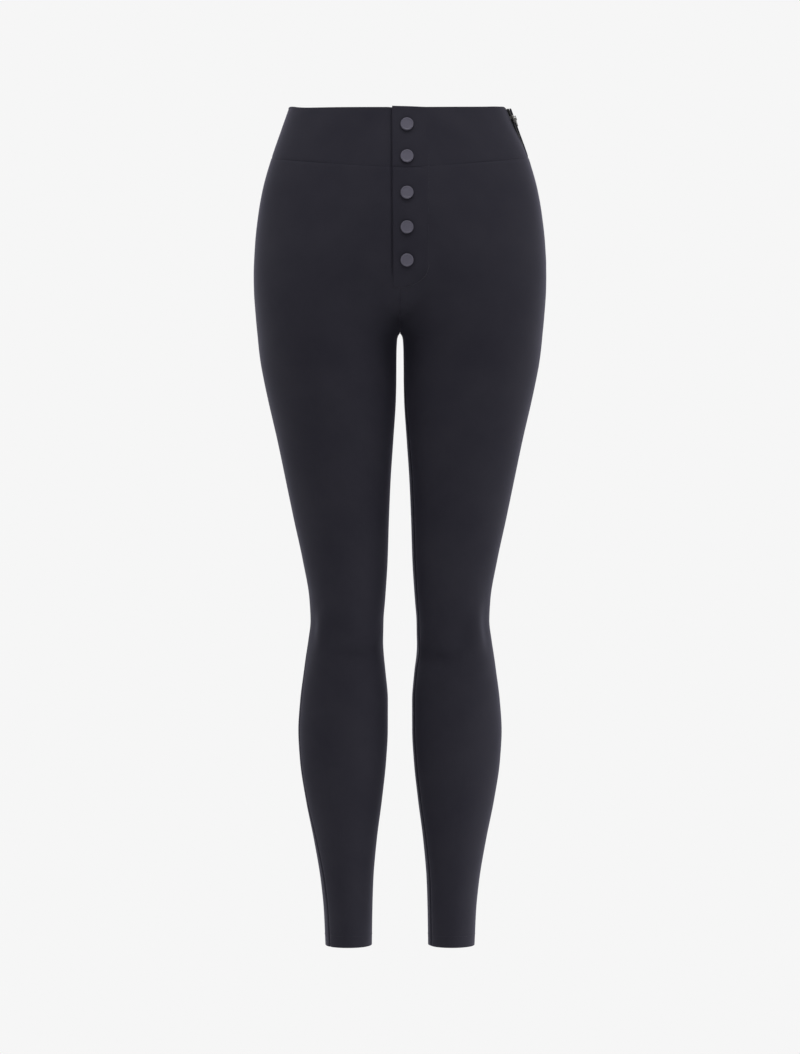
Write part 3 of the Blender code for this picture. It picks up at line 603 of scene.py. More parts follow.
# die-cast zinc, nickel plated and tumbled: warm silver, softly polished, with fine rub marks
nickel = {
    "colour": "#757371",
    "roughness": 0.4,
    "polished": 0.08,        # how much smoother it is between the rub marks
    "rubbed": 0.12,          # and how much rougher in them
    "rubGrain": 1.43,        # mm
}


def makeNickel():
    material, tree, shader = newMaterial("nickel_plated_zinc", {
        "Base Color": colourOf(nickel["colour"]), "Metallic": 1.0,
    })
    place = addNode(tree, "ShaderNodeTexCoord").outputs["Object"]
    rubs = addNode(tree, "ShaderNodeTexNoise", inputs={
        "Vector": place, "Scale": grainScale(nickel["rubGrain"]), "Detail": 3.0, "Roughness": 0.7,
    }).outputs["Fac"]
    rough = addNode(tree, "ShaderNodeMapRange", inputs={
        "Value": rubs,
        "To Min": nickel["roughness"] - nickel["polished"],
        "To Max": nickel["roughness"] + nickel["rubbed"],
    }).outputs["Result"]
    tree.links.new(rough, shader.inputs["Roughness"])
    bump = addNode(tree, "ShaderNodeBump", inputs={"Height": rubs, "Strength": 0.3, "Distance": 0.01 * mm})
    tree.links.new(bump.outputs["Normal"], shader.inputs["Normal"])
    return material


twillMaterial = makeTwill()
threadMaterial = makeThread()
snapMaterial = makeSnapPaint()
tapeMaterial = makeZipTape()
nylonMaterial = makeZipNylon()
nickelMaterial = makeNickel()
print("materials made")


def addObject(name, data):
    # puts an object in the scene
    made = bpy.data.objects.new(name, data)
    bpy.context.scene.collection.objects.link(made)
    return made


def addPiece(name, points, faces, uvs, material):
    # a smooth piece at the origin, in metres, from points and a cloth pattern in millimetres
    mesh = bpy.data.meshes.new(name)
    mesh.from_pydata((points * mm).tolist(), [], faces.tolist())
    layer = mesh.uv_layers.new(name="cloth")
    corners = np.empty(len(mesh.loops), dtype=np.int32)
    mesh.loops.foreach_get("vertex_index", corners)
    layer.data.foreach_set("uv", (uvs * mm)[corners].ravel())
    mesh.materials.append(material)
    mesh.shade_smooth()
    return addObject(name, mesh)


def gridFaces(rows, columns, closed=False):
    # the four-sided faces of a grid, which may close on itself from its last column to its first
    last = columns if closed else columns - 1
    row, column = np.meshgrid(np.arange(rows - 1), np.arange(last), indexing="ij")
    beside = (column + 1) % columns
    here, below = row * columns, (row + 1) * columns
    return np.stack([here + column, here + beside, below + beside, below + column], axis=-1).reshape(-1, 4)


def rimFall(distance, radius):
    # how far a rounded rim falls away, at a distance in from the edge
    inside = np.clip(distance, 0, radius)
    return radius - np.sqrt(np.maximum(radius * radius - (radius - inside) ** 2, 0))


def rims(*pairs):
    # how far the faces fall away towards all of a piece's edges, from distances and radii
    return np.maximum.reduce(np.broadcast_arrays(*(rimFall(distance, radius) for distance, radius in pairs)))


def clothShell(name, points, normals, lift, thick, fall, uvs, material, closed=False):
    # a closed wall whose outer face is lifted off the form, with rounded rims
    rows, columns = lift.shape
    outer = points + normals * (lift - fall)[..., None]
    inner = points + normals * (lift - thick + fall)[..., None]
    count = rows * columns
    faces = gridFaces(rows, columns, closed)
    corner, beside, below = (outer.reshape(-1, 3)[faces[:, place]] for place in (0, 1, 3))
    facing = np.cross(beside - corner, below - corner)
    flip = 1 if np.sum(facing * normals.reshape(-1, 3)[faces[:, 0]]) > 0 else -1
    top = np.arange(columns)
    borders = [top, (rows - 1) * columns + top[::-1]]
    if not closed:
        first = np.arange(rows) * columns
        borders += [first[::-1], first + columns - 1]
    sides = []
    for rim in borders:
        here = np.append(rim, rim[0]) if closed else rim
        quad = np.stack([here[:-1], here[:-1] + count, here[1:] + count, here[1:]], axis=-1)
        sides.append(quad[:, ::flip])
    every = np.concatenate([faces[:, ::flip], (faces + count)[:, ::-flip], *sides])
    both = np.concatenate([outer.reshape(-1, 3), inner.reshape(-1, 3)])
    return addPiece(name, both, every, np.concatenate([uvs.reshape(-1, 2)] * 2), material)


def edgeShares(count, nearEdge):
    # shares from 0 to 1 that crowd together towards both edges
    nearEdge = np.array(nearEdge)
    middle = np.linspace(nearEdge[-1], 1 - nearEdge[-1], count)[1:-1]
    return np.concatenate([nearEdge, middle, 1 - nearEdge[::-1]])


# soft folds, wide and shallow: where each starts and ends (degrees round the leg, drop), how deep
# it is, how wide, and how far its middle sags. A minus depth is a ridge.
foldColumns = ("side", "startAngle", "startDrop", "endAngle", "endDrop", "depth", "width", "sag")
foldShape = {
    "endShare": 0.12,        # of its length, where a fold stops growing shallower
    "endPower": 1.5,
    "shoulderHigh": 0.3,     # the low ridges on both sides of it, as a share of its depth
    "shoulderOut": 1.9,      # and how many widths away
}
foldRows = (
    # the front of the knees
    (right, 40, 588, 122, 592, -2.8, 20, 0),
    (left, 52, 585, 122, 590, -2.8, 20, 0),
    (right, 50, 628, 160, 636, 4.8, 12, 4),
    (left, 70, 648, 168, 640, 5.0, 12, -3),
    (right, 60, 668, 125, 674, -1.4, 16, 2),
    (left, 66, 672, 130, 668, -1.4, 16, 2),
    # down the outside of the knees
    (left, 60, 560, 54, 660, -4.2, 11, 0),
    (right, 54, 572, 50, 655, -3.0, 10, 0),
    # behind the knees
    (right, -38, 574, -128, 566, 1.5, 7, 5),
    (right, -58, 597, -150, 590, 2.2, 8, 6),
    (right, -30, 611, -112, 618, 1.9, 7, 4),
    (right, -66, 640, -142, 634, 1.2, 8, 4),
    (left, -34, 569, -118, 578, 1.6, 7, 5),
    (left, -52, 592, -140, 600, 2.1, 8, 5),
    (left, -40, 618, -125, 611, 1.7, 8, 5),
    (left, -70, 645, -150, 637, 1.1, 8, 4),
    # under the seat
    (right, -150, 268, -82, 292, 1.6, 10, 7),
    (right, -140, 296, -66, 312, 1.0, 9, 5),
    (left, -148, 271, -78, 290, 1.5, 10, 7),
    (left, -142, 293, -62, 314, 1.1, 9, 6),
    # above the heels
    (right, -48, 905, -132, 899, 0.9, 7, 3),
    (left, -40, 902, -124, 909, 0.9, 7, 3),
    (right, -58, 934, -126, 938, 0.7, 6, 2),
    (left, -52, 939, -130, 933, 0.8, 6, 2),
)


def foldLift(side, angles, drops):
    # how far all the folds of one leg lift its cloth
    lift = np.zeros_like(drops)
    for row in foldRows:
        fold = dict(zip(foldColumns, row))
        if fold["side"] != side:
            continue
        middle = (fold["startDrop"] + fold["endDrop"]) / 2
        perDegree = math.radians(1) * float(ring(np.array(middle), True)[1])
        x = ((angles - fold["startAngle"] + 180) % 360 - 180) * perDegree
        y = drops - fold["startDrop"]
        runX = (fold["endAngle"] - fold["startAngle"]) * perDegree
        runY = fold["endDrop"] - fold["startDrop"]
        length = math.hypot(runX, runY)
        along = (x * runX + y * runY) / length ** 2
        off = (x * -runY + y * runX) / length * math.copysign(1, runX)
        off = off - fold["sag"] * 4 * np.clip(along, 0, 1) * (1 - np.clip(along, 0, 1))
        past = np.maximum(np.maximum(-along, along - 1), 0) * length
        wide, least = fold["width"], foldShape["endShare"]
        fade = np.sin(np.pi * np.clip(along, least, 1 - least)) ** foldShape["endPower"] * bell(past / wide)
        out = foldShape["shoulderOut"] * wide
        shoulders = bell((off - out) / wide) + bell((off + out) / wide)
        lift -= fold["depth"] * fade * (bell(off / wide) - foldShape["shoulderHigh"] * shoulders)
    return lift


# the trousers' panels: a single layer of cloth
cloth = {
    "thick": 1.2,
    "seamRim": 0.35,         # how round the sewn edges are
    "edgeRim": 0.55,         # and the free ones
    "seamValley": 1.3,       # how far a seam draws the cloth in
    "bandPull": 0.4,         # and the waistband seam, as a share of that
    "frontMiddlePull": 0.2,  # and the seam down the middle of the front, which is pressed flat
    "seamSoft": 1.5,         # and over what distance
    "seamPuff": 0.06,        # how far the seam's turnings lift the cloth beside it
    "puffOut": 3.2,          # how many seamSofts away from it, and how widely
    "puffWide": 1.6,
    "middleFades": 12.0,     # over which the pressed seam in front turns into the inside leg's
    "bandShown": 0.35,       # how much of the waistband seam shows in front, away from the hips
    "bandShownAt": 115.0,    # where it shows most, from the middle, and how widely
    "bandShownWide": 34.0,
    "zipLip": 0.3,           # how far the turned edges beside the zip stand proud
    "zipLipAt": 0.8,         # from those edges
    "zipLipWide": 1.5,
    "zipLipFades": 12.0,     # above the zip's end
    "zipSink": 1.2,          # how far the open front edge sinks in
    "zipSinkWide": 14.0,
    "ease": 0.3,             # how far the cloth stands off the form, which makes up for the seams
    "crotchSide": 273.0,     # drop at the side seam of the row that ends at the crotch
    "columns": 52,
    "rowStep": 3.0,
}
closeIn = np.array([0.0, 0.3, 0.7, 1.3, 2.4, 4.4])      # rows beside an edge, in from it
closeColumns = [0, 0.0018, 0.0045, 0.009, 0.016] + [0.024 + 0.0045 * step for step in range(9)]    # as shares


def seamPull(distance):
    # the soft valley along a seam, with its slightly lifted sides
    soft = cloth["seamSoft"]
    puff = cloth["seamPuff"] * bell((distance - cloth["puffOut"] * soft) / (cloth["puffWide"] * soft))
    return puff - cloth["seamValley"] * bell(distance / soft)


def zipLip(distance, drops, inFront):
    # the turned edges of the cloth beside the zip stand a little proud, and the open front one sinks in
    ended = ease((garment["zipEnd"] - drops) / cloth["zipLipFades"])
    sunk = cloth["zipSink"] * zipParted(drops) * bell(distance / cloth["zipSinkWide"]) if inFront else 0
    return cloth["zipLip"] * ended * bell((distance - cloth["zipLipAt"]) / cloth["zipLipWide"]) - sunk


def bandSeamShare(points, inFront):
    # in front, the waistband seam shows most near the hips
    away = np.abs(points[..., 0]) - cloth["bandShownAt"]
    least = cloth["bandShown"] if inFront else 1
    return least + (1 - least) * bell(away / cloth["bandShownWide"])


def panelCloth(side, inFront):
    shares = edgeShares(cloth["columns"], closeColumns)
    tops = bandSeam(shares, inFront) - garment["seamLap"]
    level = bandSeam(np.array(0.5), inFront) - garment["seamLap"]
    crotchSide, length = cloth["crotchSide"], garment["length"]
    upper = np.linspace(level + closeIn[-1], crotchSide, int((crotchSide - level) / cloth["rowStep"]))
    lower = np.linspace(crotchSide, length - closeIn[-1], int((length - crotchSide) / cloth["rowStep"]))
    sides = np.concatenate([level + closeIn[:-1], upper, lower[1:], length - closeIn[-2::-1]])
    ends = np.interp(sides, [0.0] + [row[0] for row in fanRows], [0.0] + [row[1] for row in fanRows])
    slope = np.clip(1 - (sides - level) / (garment["levelBy"] - level), 0, 1)
    drops = sides[:, None] + (ends - sides)[:, None] * shares ** 2 + slope[:, None] * (tops - level)
    grid = panelGrid(side, inFront, drops, shares)
    zipOpen = np.clip((garment["zipEnd"] + garment["zipCloses"] - drops) / garment["zipCloses"], 0, 1)
    besideZip = zipOpen if side == left else 0
    lift = foldLift(side, grid["angles"], drops) + cloth["ease"]
    if side == left:
        lift += zipLip(grid["fromSide"], drops, inFront)
    atMiddle = ease((garment["crotch"] - drops) / cloth["middleFades"]) if inFront else 0
    lift += seamPull(grid["fromSide"]) * (1 - besideZip)
    lift += seamPull(grid["fromEnd"]) * (1 - atMiddle * (1 - cloth["frontMiddlePull"]))
    shown = bandSeamShare(grid["points"], inFront)
    lift += cloth["bandPull"] * shown * seamPull(drops - tops)
    if inFront:
        lift += besidePlacket(grid["points"], drops)
    seam, edge = cloth["seamRim"], cloth["edgeRim"]
    fall = rims(
        (grid["fromSide"], seam + (edge - seam) * besideZip),
        (grid["fromEnd"], seam),
        (drops - tops, seam * shown),
        (length - drops, edge),
    )
    uvs = np.stack([grid["fromSide"] * (1 if inFront else -1), -drops], axis=-1)
    node = ("front_" if inFront else "back_") + sideNames[side]
    points, normals = grid["points"], grid["normals"]
    piece = clothShell(node + "_cloth", points, normals, lift, cloth["thick"], fall, uvs, twillMaterial)
    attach(piece, trousers)
    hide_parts(node)


# the waistband: doubled cloth, with a turned top edge
band = {
    "thick": 1.9,
    "topRim": 0.85,
    "corner": 3.2,           # radius of its top corners beside the zip
    "facingAt": 42.0,        # where the edge of its facing shows, from the middle of the front
    "facingRidge": 0.16,     # how high it stands, how wide it is, and the drops where it fades and ends
    "facingWide": 0.9,
    "facingFades": 40.0,
    "facingEnds": 52.0,
    "rows": 30,
    "closeRows": (0, 0.004, 0.011, 0.022, 0.04, 0.07),
}


def bandGrid(side, inFront):
    shares = edgeShares(cloth["columns"], closeColumns)
    tops = waistEdge(side, shares, inFront)
    if side == left:
        away = shares * np.interp(0, levels, panels[side, inFront]["totals"])
        tops = tops + rimFall(away, band["corner"])
    bottoms = bandSeam(shares, inFront) + garment["seamLap"]
    down = edgeShares(band["rows"], band["closeRows"])[:, None]
    drops = tops + (bottoms - tops) * down
    grid = panelGrid(side, inFront, drops, shares)
    grid["fromTop"] = drops - tops
    grid["fromSeam"] = bottoms - drops
    grid["lip"] = zipLip(grid["fromSide"], drops, inFront) * (side == left)
    return grid


def bandCloth(node, inFront, grid, fromSides):
    points, normals, drops = grid["points"], grid["normals"], grid["drops"]
    shown = bandSeamShare(points, inFront)
    fall = rims(*fromSides, (grid["fromTop"], band["topRim"]), (grid["fromSeam"], cloth["seamRim"] * shown))
    lift = cloth["ease"] + cloth["bandPull"] * shown * seamPull(grid["fromSeam"]) + grid["lip"]
    if inFront:
        fade = np.clip((band["facingEnds"] - drops) / (band["facingEnds"] - band["facingFades"]), 0, 1)
        ridge = bell(np.abs(points[..., 0] - band["facingAt"]) / band["facingWide"])
        lift = lift + band["facingRidge"] * fade * ridge
        lift = lift + besidePlacket(points, drops)
    uvs = np.stack([grid["across"], -drops], axis=-1)
    piece = clothShell(node + "_cloth", points, normals, lift, band["thick"], fall, uvs, twillMaterial)
    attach(piece, trousers)
    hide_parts(node)


def makeWaistband():
    for side in (right, left):
        grid = bandGrid(side, True)
        grid["across"] = grid["fromSide"]
        sideRim = cloth["edgeRim"] if side == left else cloth["seamRim"]
        fromSides = (grid["fromSide"], sideRim), (grid["fromEnd"], cloth["edgeRim"])
        bandCloth("waistband_front_" + sideNames[side], True, grid, fromSides)
    # the back is one piece, from the right side seam past the middle to the zip
    rightHalf, leftHalf = bandGrid(right, False), bandGrid(left, False)
    whole = {
        key: np.concatenate([rightHalf[key][:, :-1], leftHalf[key][:, ::-1]], axis=1)
        for key in ("points", "drops", "fromTop", "fromSeam", "lip")
    }
    middle = rightHalf["points"].shape[1] - 1
    whole["points"][:, middle, 0] = 0
    whole["normals"] = gridNormals(whole["points"], left)
    onwards = 2 * leftHalf["fromSide"][:, -1:] - leftHalf["fromSide"][:, ::-1]
    whole["across"] = np.concatenate([rightHalf["fromSide"][:, :-1], onwards], axis=1)
    toZip = whole["across"][:, -1:] - whole["across"]
    fromSides = (whole["across"], cloth["seamRim"]), (toZip, cloth["edgeRim"])
    bandCloth("waistband_back", False, whole, fromSides)


# the button placket: a folded strip with a free edge, which is sewn down along its other side
placket = {
    "edge": -9.2,            # free edge at the top, on the wearer's right of the middle
    "lean": 1.7,             # how far that edge leans in by its bottom end
    "sewn": 34.2,            # sewn edge, on the wearer's left
    "turn": 190.0,           # drop at which the sewn edge starts to curve in
    "end": 215.5,            # drop of its bottom edge
    "flat": -2.0,            # where that curve meets the bottom edge
    "peak": 1.0,             # how far its top corner stands above the waistband
    "peakDown": 6.0,         # and how far down that reaches
    "lift": 1.3,             # outer face of the free edge, from the panels
    "sunk": 0.06,            # and of the sewn edge, below them
    "thick": 1.1,
    "thinEdge": 0.55,        # thickness at the sewn edge
    "taper": 30.0,           # over this, beside the sewn edge, it sinks into the panel
    "endLift": 0.25,         # share of its lift that is left at its bottom edge
    "endTaper": 14.0,        # and how far up that reaches
    "joinRim": 0.4,          # how round its two parts are where they meet
    "endRim": 0.01,          # and at the bottom edge, which lies flat on the panel
    "dimple": 0.35,          # how far each button presses it in
    "dimpleRadius": 6.5,
    "dimpleSoft": 2.4,
    "seamDeep": 0.55,        # the waistband seam across it
    "seamSoft": 1.3,
    "grooveOut": 0.8,        # the groove beside its free edge: how far out, how deep and how wide
    "grooveDeep": 1.6,
    "grooveWide": 1.4,
    "grooveEnds": 10.0,      # above the bottom edge
    "grooveFades": 20.0,
    "rowStep": 1.6,
    "turnRows": 30,
    "closeShares": (0, 0.007, 0.017, 0.032),
    "columns": 36,
}
button = {
    "drops": (25.5, 63.0, 105.5, 145.5, 183.5),
    "across": 8.1,           # from the middle of the front, towards the wearer's left
    "half": 1.2,             # half of a cap's height, which is above and below the solid's middle
    "segments": 72,
}


def freeEdge(drop):
    return placket["edge"] + placket["lean"] * drop / placket["end"]


def sewnEdge(drop):
    fall = np.clip((drop - placket["turn"]) / (placket["end"] - placket["turn"]), 0.0, 1.0)
    return placket["flat"] + (placket["sewn"] - placket["flat"]) * np.sqrt(1 - fall * fall)


def besidePlacket(points, drops):
    # the groove in the cloth along the placket's free edge
    off = points[..., 0] - freeEdge(drops) + placket["grooveOut"]
    fade = ease((placket["end"] - placket["grooveEnds"] - drops) / placket["grooveFades"])
    return -placket["grooveDeep"] * fade * bell(off / placket["grooveWide"])


def placketLift(across, drops):
    # the outer face of the placket above the panels' form
    thinning = ease((sewnEdge(drops) - across) / placket["taper"])
    upwards = ease((placket["end"] - drops) / placket["endTaper"])
    ending = placket["endLift"] + (1 - placket["endLift"]) * upwards
    lift = cloth["ease"] - placket["sunk"] + (placket["lift"] + placket["sunk"]) * thinning * ending
    for drop in button["drops"]:
        away = np.hypot(across - button["across"], drops - drop) - placket["dimpleRadius"]
        lift = lift - placket["dimple"] * bell(np.maximum(away, 0) / placket["dimpleSoft"])
    return lift - placket["seamDeep"] * bell((drops - garment["bandFront"]) / placket["seamSoft"])


def placketCloth(node, top, bottom):
    inBand = bottom < placket["end"]
    down = edgeShares(int((bottom - top) / placket["rowStep"]), closeIn / (bottom - top))
    rows = (top + (bottom - top) * down)[:, None]
    if not inBand:
        # the rows follow the sewn edge round its curve
        turns = np.radians(np.linspace(0, 90, placket["turnRows"]))[1:, None]
        curved = placket["turn"] + (placket["end"] - placket["turn"]) * np.sin(turns)
        rows = np.concatenate([rows[rows[:, 0] <= placket["turn"]], curved])
    shares = np.concatenate([placket["closeShares"], np.linspace(0.05, 1, placket["columns"])])
    free, sewn = freeEdge(rows), sewnEdge(rows)
    across = free + (sewn - free) * shares
    drops = rows + 0 * across
    points = frontSurface(across, drops)
    normals = gridNormals(points, left)
    if inBand:
        nearTop = np.clip(1 - (rows - top) / placket["peakDown"], 0, 1)
        points[..., 2] += placket["peak"] * (1 - shares) * nearTop
    thinning = ease((sewn - across) / placket["taper"])
    thick = placket["thinEdge"] + (placket["thick"] - placket["thinEdge"]) * thinning
    fall = rims(
        (across - free, cloth["edgeRim"]),
        (drops - top, cloth["edgeRim"] if inBand else placket["joinRim"]),
        (bottom - drops, placket["joinRim"] if inBand else placket["endRim"]),
    )
    fall = np.minimum(fall, thick / 2.1)      # just short of where the two faces would meet
    uvs = np.stack([across, -drops], axis=-1)
    lift = placketLift(across, drops)
    piece = clothShell(node + "_cloth", points, normals, lift, thick, fall, uvs, twillMaterial)
    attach(piece, trousers)
    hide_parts(node)


# the turned-up hems, inside the bottoms of the legs
hem = {
    "turn": 14.0,
    "lift": -1.2,            # outer face, from the form, so that it lies inside the leg
    "thick": 0.9,
    "foldOut": 0.28,         # how far the fold at the bottom comes out to the leg
    "foldSoft": 0.8,
    "rim": 0.4,
    "rows": 8,
    "columns": 60,           # of each half
}


def hemCloth(side):
    top, bottom = garment["length"] - hem["turn"], garment["length"]
    rows = (top + hem["turn"] * edgeShares(hem["rows"], closeIn[:5] / hem["turn"]))[:, None]
    shares = np.linspace(0, 1, hem["columns"])
    drops = rows + 0 * shares
    front, back = (panelGrid(side, inFront, drops, shares) for inFront in (True, False))
    points = np.concatenate([front["points"], back["points"][:, ::-1]], axis=1)
    normals = gridNormals(np.concatenate([points[:, -2:], points, points[:, :2]], axis=1), side)[:, 2:-2]
    lift = hem["lift"] + hem["foldOut"] * bell((bottom - rows) / hem["foldSoft"]) + 0 * points[..., 0]
    fall = rims((rows - top, hem["rim"]), (bottom - rows, hem["rim"])) + 0 * points[..., 0]
    run = np.concatenate([[0], np.cumsum(np.linalg.norm(np.diff(points[0], axis=0), axis=1))])
    uvs = np.stack(np.broadcast_arrays(run, -np.concatenate([drops, drops], axis=1)), axis=-1)
    node = "hem_" + sideNames[side]
    thick = hem["thick"]
    piece = clothShell(node + "_cloth", points, normals, lift, thick, fall, uvs, twillMaterial, closed=True)
    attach(piece, trousers)
    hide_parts(node)


for side in (right, left):
    panelCloth(side, True)
    panelCloth(side, False)
    hemCloth(side)
print("leg panels and hems made")
makeWaistband()
placketCloth("placket_band", garment["waistDip"], garment["bandFront"] + garment["seamLap"])
placketCloth("placket_front", garment["bandFront"] - garment["seamLap"], placket["end"])
print("waistband and placket made")


# snap buttons: pressed caps, whose turned rims stand round a slightly sunken face. Radius and height of
# the cap's outline, from the middle of its face to the middle of its back
buttonOutline = (
    (0.0, 2.02), (2.6, 2.03), (4.9, 2.06), (5.5, 2.1), (5.85, 2.2), (6.1, 2.32), (6.4, 2.4), (6.7, 2.41),
    (7.0, 2.34), (7.28, 2.16), (7.45, 1.9), (7.5, 1.55), (7.5, 0.7), (7.4, 0.35), (7.15, 0.12), (6.6, 0.02),
    (4.0, 0.0), (0.0, 0.0),
)


def makeButton(number, drop):
    # turns the outline round, with a point at the middle of its face and of its back
    count = button["segments"]
    turns = np.linspace(0, 2 * math.pi, count, endpoint=False)
    rings = np.array(buttonOutline[1:-1])
    x = rings[:, :1] * np.cos(turns)
    y = rings[:, :1] * np.sin(turns)
    z = rings[:, 1:] + 0 * x
    face, back = ([[0, 0, buttonOutline[place][1]]] for place in (0, -1))
    cap = np.concatenate([face, np.stack([x, y, z], axis=-1).reshape(-1, 3), back])
    low, high = (np.array(corner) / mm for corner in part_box(f"button_{number}"))
    around = np.array([[-1, 1]] * 2)
    here = frontSurface(button["across"] + around, drop + around.T)
    up = Vector(gridNormals(here, left)[0, 0])
    turned = np.array(up.to_track_quat("Z", "Y").to_matrix())
    seat = (low + high) / 2 - np.array(up) * button["half"]
    points = cap @ turned.T + seat
    faces = (gridFaces(len(rings), count, closed=True) + 1).tolist()
    faces += [[1 + turn, 1 + (turn + 1) % count, 0] for turn in range(count)]
    end = len(cap) - 1
    faces += [[end, end - count + (turn + 1) % count, end - count + turn] for turn in range(count)]
    mesh = bpy.data.meshes.new(f"button_{number}_cap")
    mesh.from_pydata((points * mm).tolist(), [], faces)
    shape = bmesh.new()
    shape.from_mesh(mesh)
    bmesh.ops.recalc_face_normals(shape, faces=shape.faces)
    shape.to_mesh(mesh)
    shape.free()
    mesh.materials.append(snapMaterial)
    mesh.shade_smooth()
    piece = addObject(f"button_{number}_cap", mesh)
    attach(piece, trousers)
    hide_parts(f"button_{number}")


for number, drop in enumerate(button["drops"], start=1):
    makeButton(number, drop)
print("snap buttons made")


# the side zip
sideZip = {
    "top": 0.2,
    "tapeEnd": 194.0,
    "tapeNear": 0.7,         # edges of the tapes, from the seam line
    "tapeFar": 11.7,
    "tapeLift": -3.1,        # outer face, from the form
    "tapeThick": 0.7,
    "stripStep": 3.0,        # between the rows of the tapes and cords
    "stripRim": 0.3,         # how round their edges are
    "closeShares": (0, 0.02, 0.05, 0.1),
    "chainTop": 12.0,        # drops between which the teeth are closed
    "chainEnd": 186.0,
    "openEnd": 7.6,          # drop at which the open teeth go into the slider
    "pitch": 1.25,           # between the teeth of one side
    "toothAcross": 1.35,     # half a tooth's reach across the zip
    "toothAlong": 0.42,
    "toothHigh": 0.55,
    "closedAt": 0.62,        # from the seam line to the middles of the teeth where they mesh
    "openAt": 1.55,          # and where they stand apart
    "openAcross": 0.8,       # half their reach there
    "toothLift": -0.85,      # middles of the teeth, against the outer face of the cloth
    "cordHalf": 1.7,         # the cord that the closed teeth are sewn over
    "cordLift": -1.3,
    "cordThick": 2.0,
    "openCordNear": 0.95,    # and the two cords above the slider
    "openCordFar": 2.4,
    "openCordLift": -1.2,
    "openCordThick": 2.1,
    "seed": 3,               # of the small differences between its teeth
    "openSeed": 5,
}


def besideSeam(drop, offset):
    # points beside the left side seam, so many millimetres towards the front
    start = seamTurnAt[left, "side"](drop)
    reach = 4                # degrees to each side, over which the distance is measured
    ahead, behind = (clothSurface(left, drop, start + turn) for turn in (reach, -reach))
    perDegree = np.linalg.norm(ahead - behind, axis=-1) / (2 * reach)
    return clothSurface(left, drop, start + offset / perDegree)


def seamStrip(name, top, bottom, near, far, lift, thick, node=None):
    # a strip of tape beside the side seam. The ones that stand for a node take its place, and its solid is
    # hidden
    drops = np.linspace(top, bottom, int((bottom - top) / sideZip["stripStep"]) + 2)[:, None]
    offsets = near + (far - near) * edgeShares(5, sideZip["closeShares"])
    points = besideSeam(drops + 0 * offsets, offsets + 0 * drops)
    normals = gridNormals(points, left)
    lifts = lift + 0 * points[..., 0]
    ends = (np.abs(offsets - near), np.abs(far - offsets), drops - top, bottom - drops)
    fall = rims(*((end, sideZip["stripRim"]) for end in ends)) + 0 * lifts
    uvs = np.stack(np.broadcast_arrays(offsets, -drops), axis=-1)
    piece = clothShell(name, points, normals, lifts, thick, fall, uvs, tapeMaterial)
    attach(piece, trousers)
    if node:
        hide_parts(node)


def nameInputs(tree, *inputs):
    # gives a tree its geometry and its named inputs, with their usual values
    tree.interface.new_socket("Geometry", in_out="INPUT", socket_type="NodeSocketGeometry")
    for name, value in inputs:
        kind = "NodeSocketInt" if isinstance(value, int) else "NodeSocketFloat"
        socket = tree.interface.new_socket(name, in_out="INPUT", socket_type=kind)
        socket.default_value = value
    tree.interface.new_socket("Geometry", in_out="OUTPUT", socket_type="NodeSocketGeometry")
    return addNode(tree, "NodeGroupInput").outputs


def endTree(tree, instances, material):
    # makes the instances real, smooth and of one material
    real = addNode(tree, "GeometryNodeRealizeInstances", inputs={"Geometry": instances}).outputs[0]
    smooth = addNode(tree, "GeometryNodeSetShadeSmooth", inputs={"Geometry": real}).outputs[0]
    dressed = addNode(tree, "GeometryNodeSetMaterial", inputs={
        "Geometry": smooth, "Material": material,
    }).outputs[0]
    output = addNode(tree, "NodeGroupOutput")
    tree.links.new(dressed, output.inputs[0])


def repeatTree(name, unit, material, inputs):
    # repeats a unit along a path: its X runs along the path and its Z stands on the cloth
    tree = bpy.data.node_groups.new(name, "GeometryNodeTree")
    given = nameInputs(tree, *inputs, ("Smallest", 0.9), ("Largest", 1.08))
    curve = addNode(tree, "GeometryNodeMeshToCurve", inputs={"Mesh": given["Geometry"]}).outputs[0]
    even = addNode(tree, "GeometryNodeResampleCurve", {"mode": "LENGTH"}, {
        "Curve": curve, "Length": given["Pitch"],
    }).outputs[0]
    up = addNode(tree, "GeometryNodeInputNamedAttribute", {"data_type": "FLOAT_VECTOR"}, {
        "Name": "up",
    }).outputs[0]
    along = addNode(tree, "GeometryNodeInputTangent").outputs[0]
    turned = addNode(tree, "FunctionNodeAxesToRotation", {"primary_axis": "Z", "secondary_axis": "X"}, {
        "Primary Axis": up, "Secondary Axis": along,
    }).outputs[0]
    # a random number's sockets 2 and 3 are its limits, 8 is its seed, and its output 1 is the number
    size = addNode(tree, "FunctionNodeRandomValue", {"data_type": "FLOAT"}, {
        2: given["Smallest"], 3: given["Largest"], 8: given["Seed"],
    }).outputs[1]
    instances = addNode(tree, "GeometryNodeInstanceOnPoints", inputs={
        "Points": even, "Instance": unit(tree, given), "Rotation": turned, "Scale": size,
    }).outputs[0]
    endTree(tree, instances, material)
    return tree


def toothUnit(tree, given):
    # one turn of the coil, as a rounded bar across the zip
    bead = addNode(tree, "GeometryNodeMeshUVSphere", inputs={
        "Segments": 8, "Rings": 6, "Radius": 1.0,
    }).outputs[0]
    scale = addNode(tree, "ShaderNodeCombineXYZ", inputs={
        "X": given["Along"], "Y": given["Across"], "Z": given["High"],
    }).outputs[0]
    return addNode(tree, "GeometryNodeTransform", inputs={"Geometry": bead, "Scale": scale}).outputs[0]


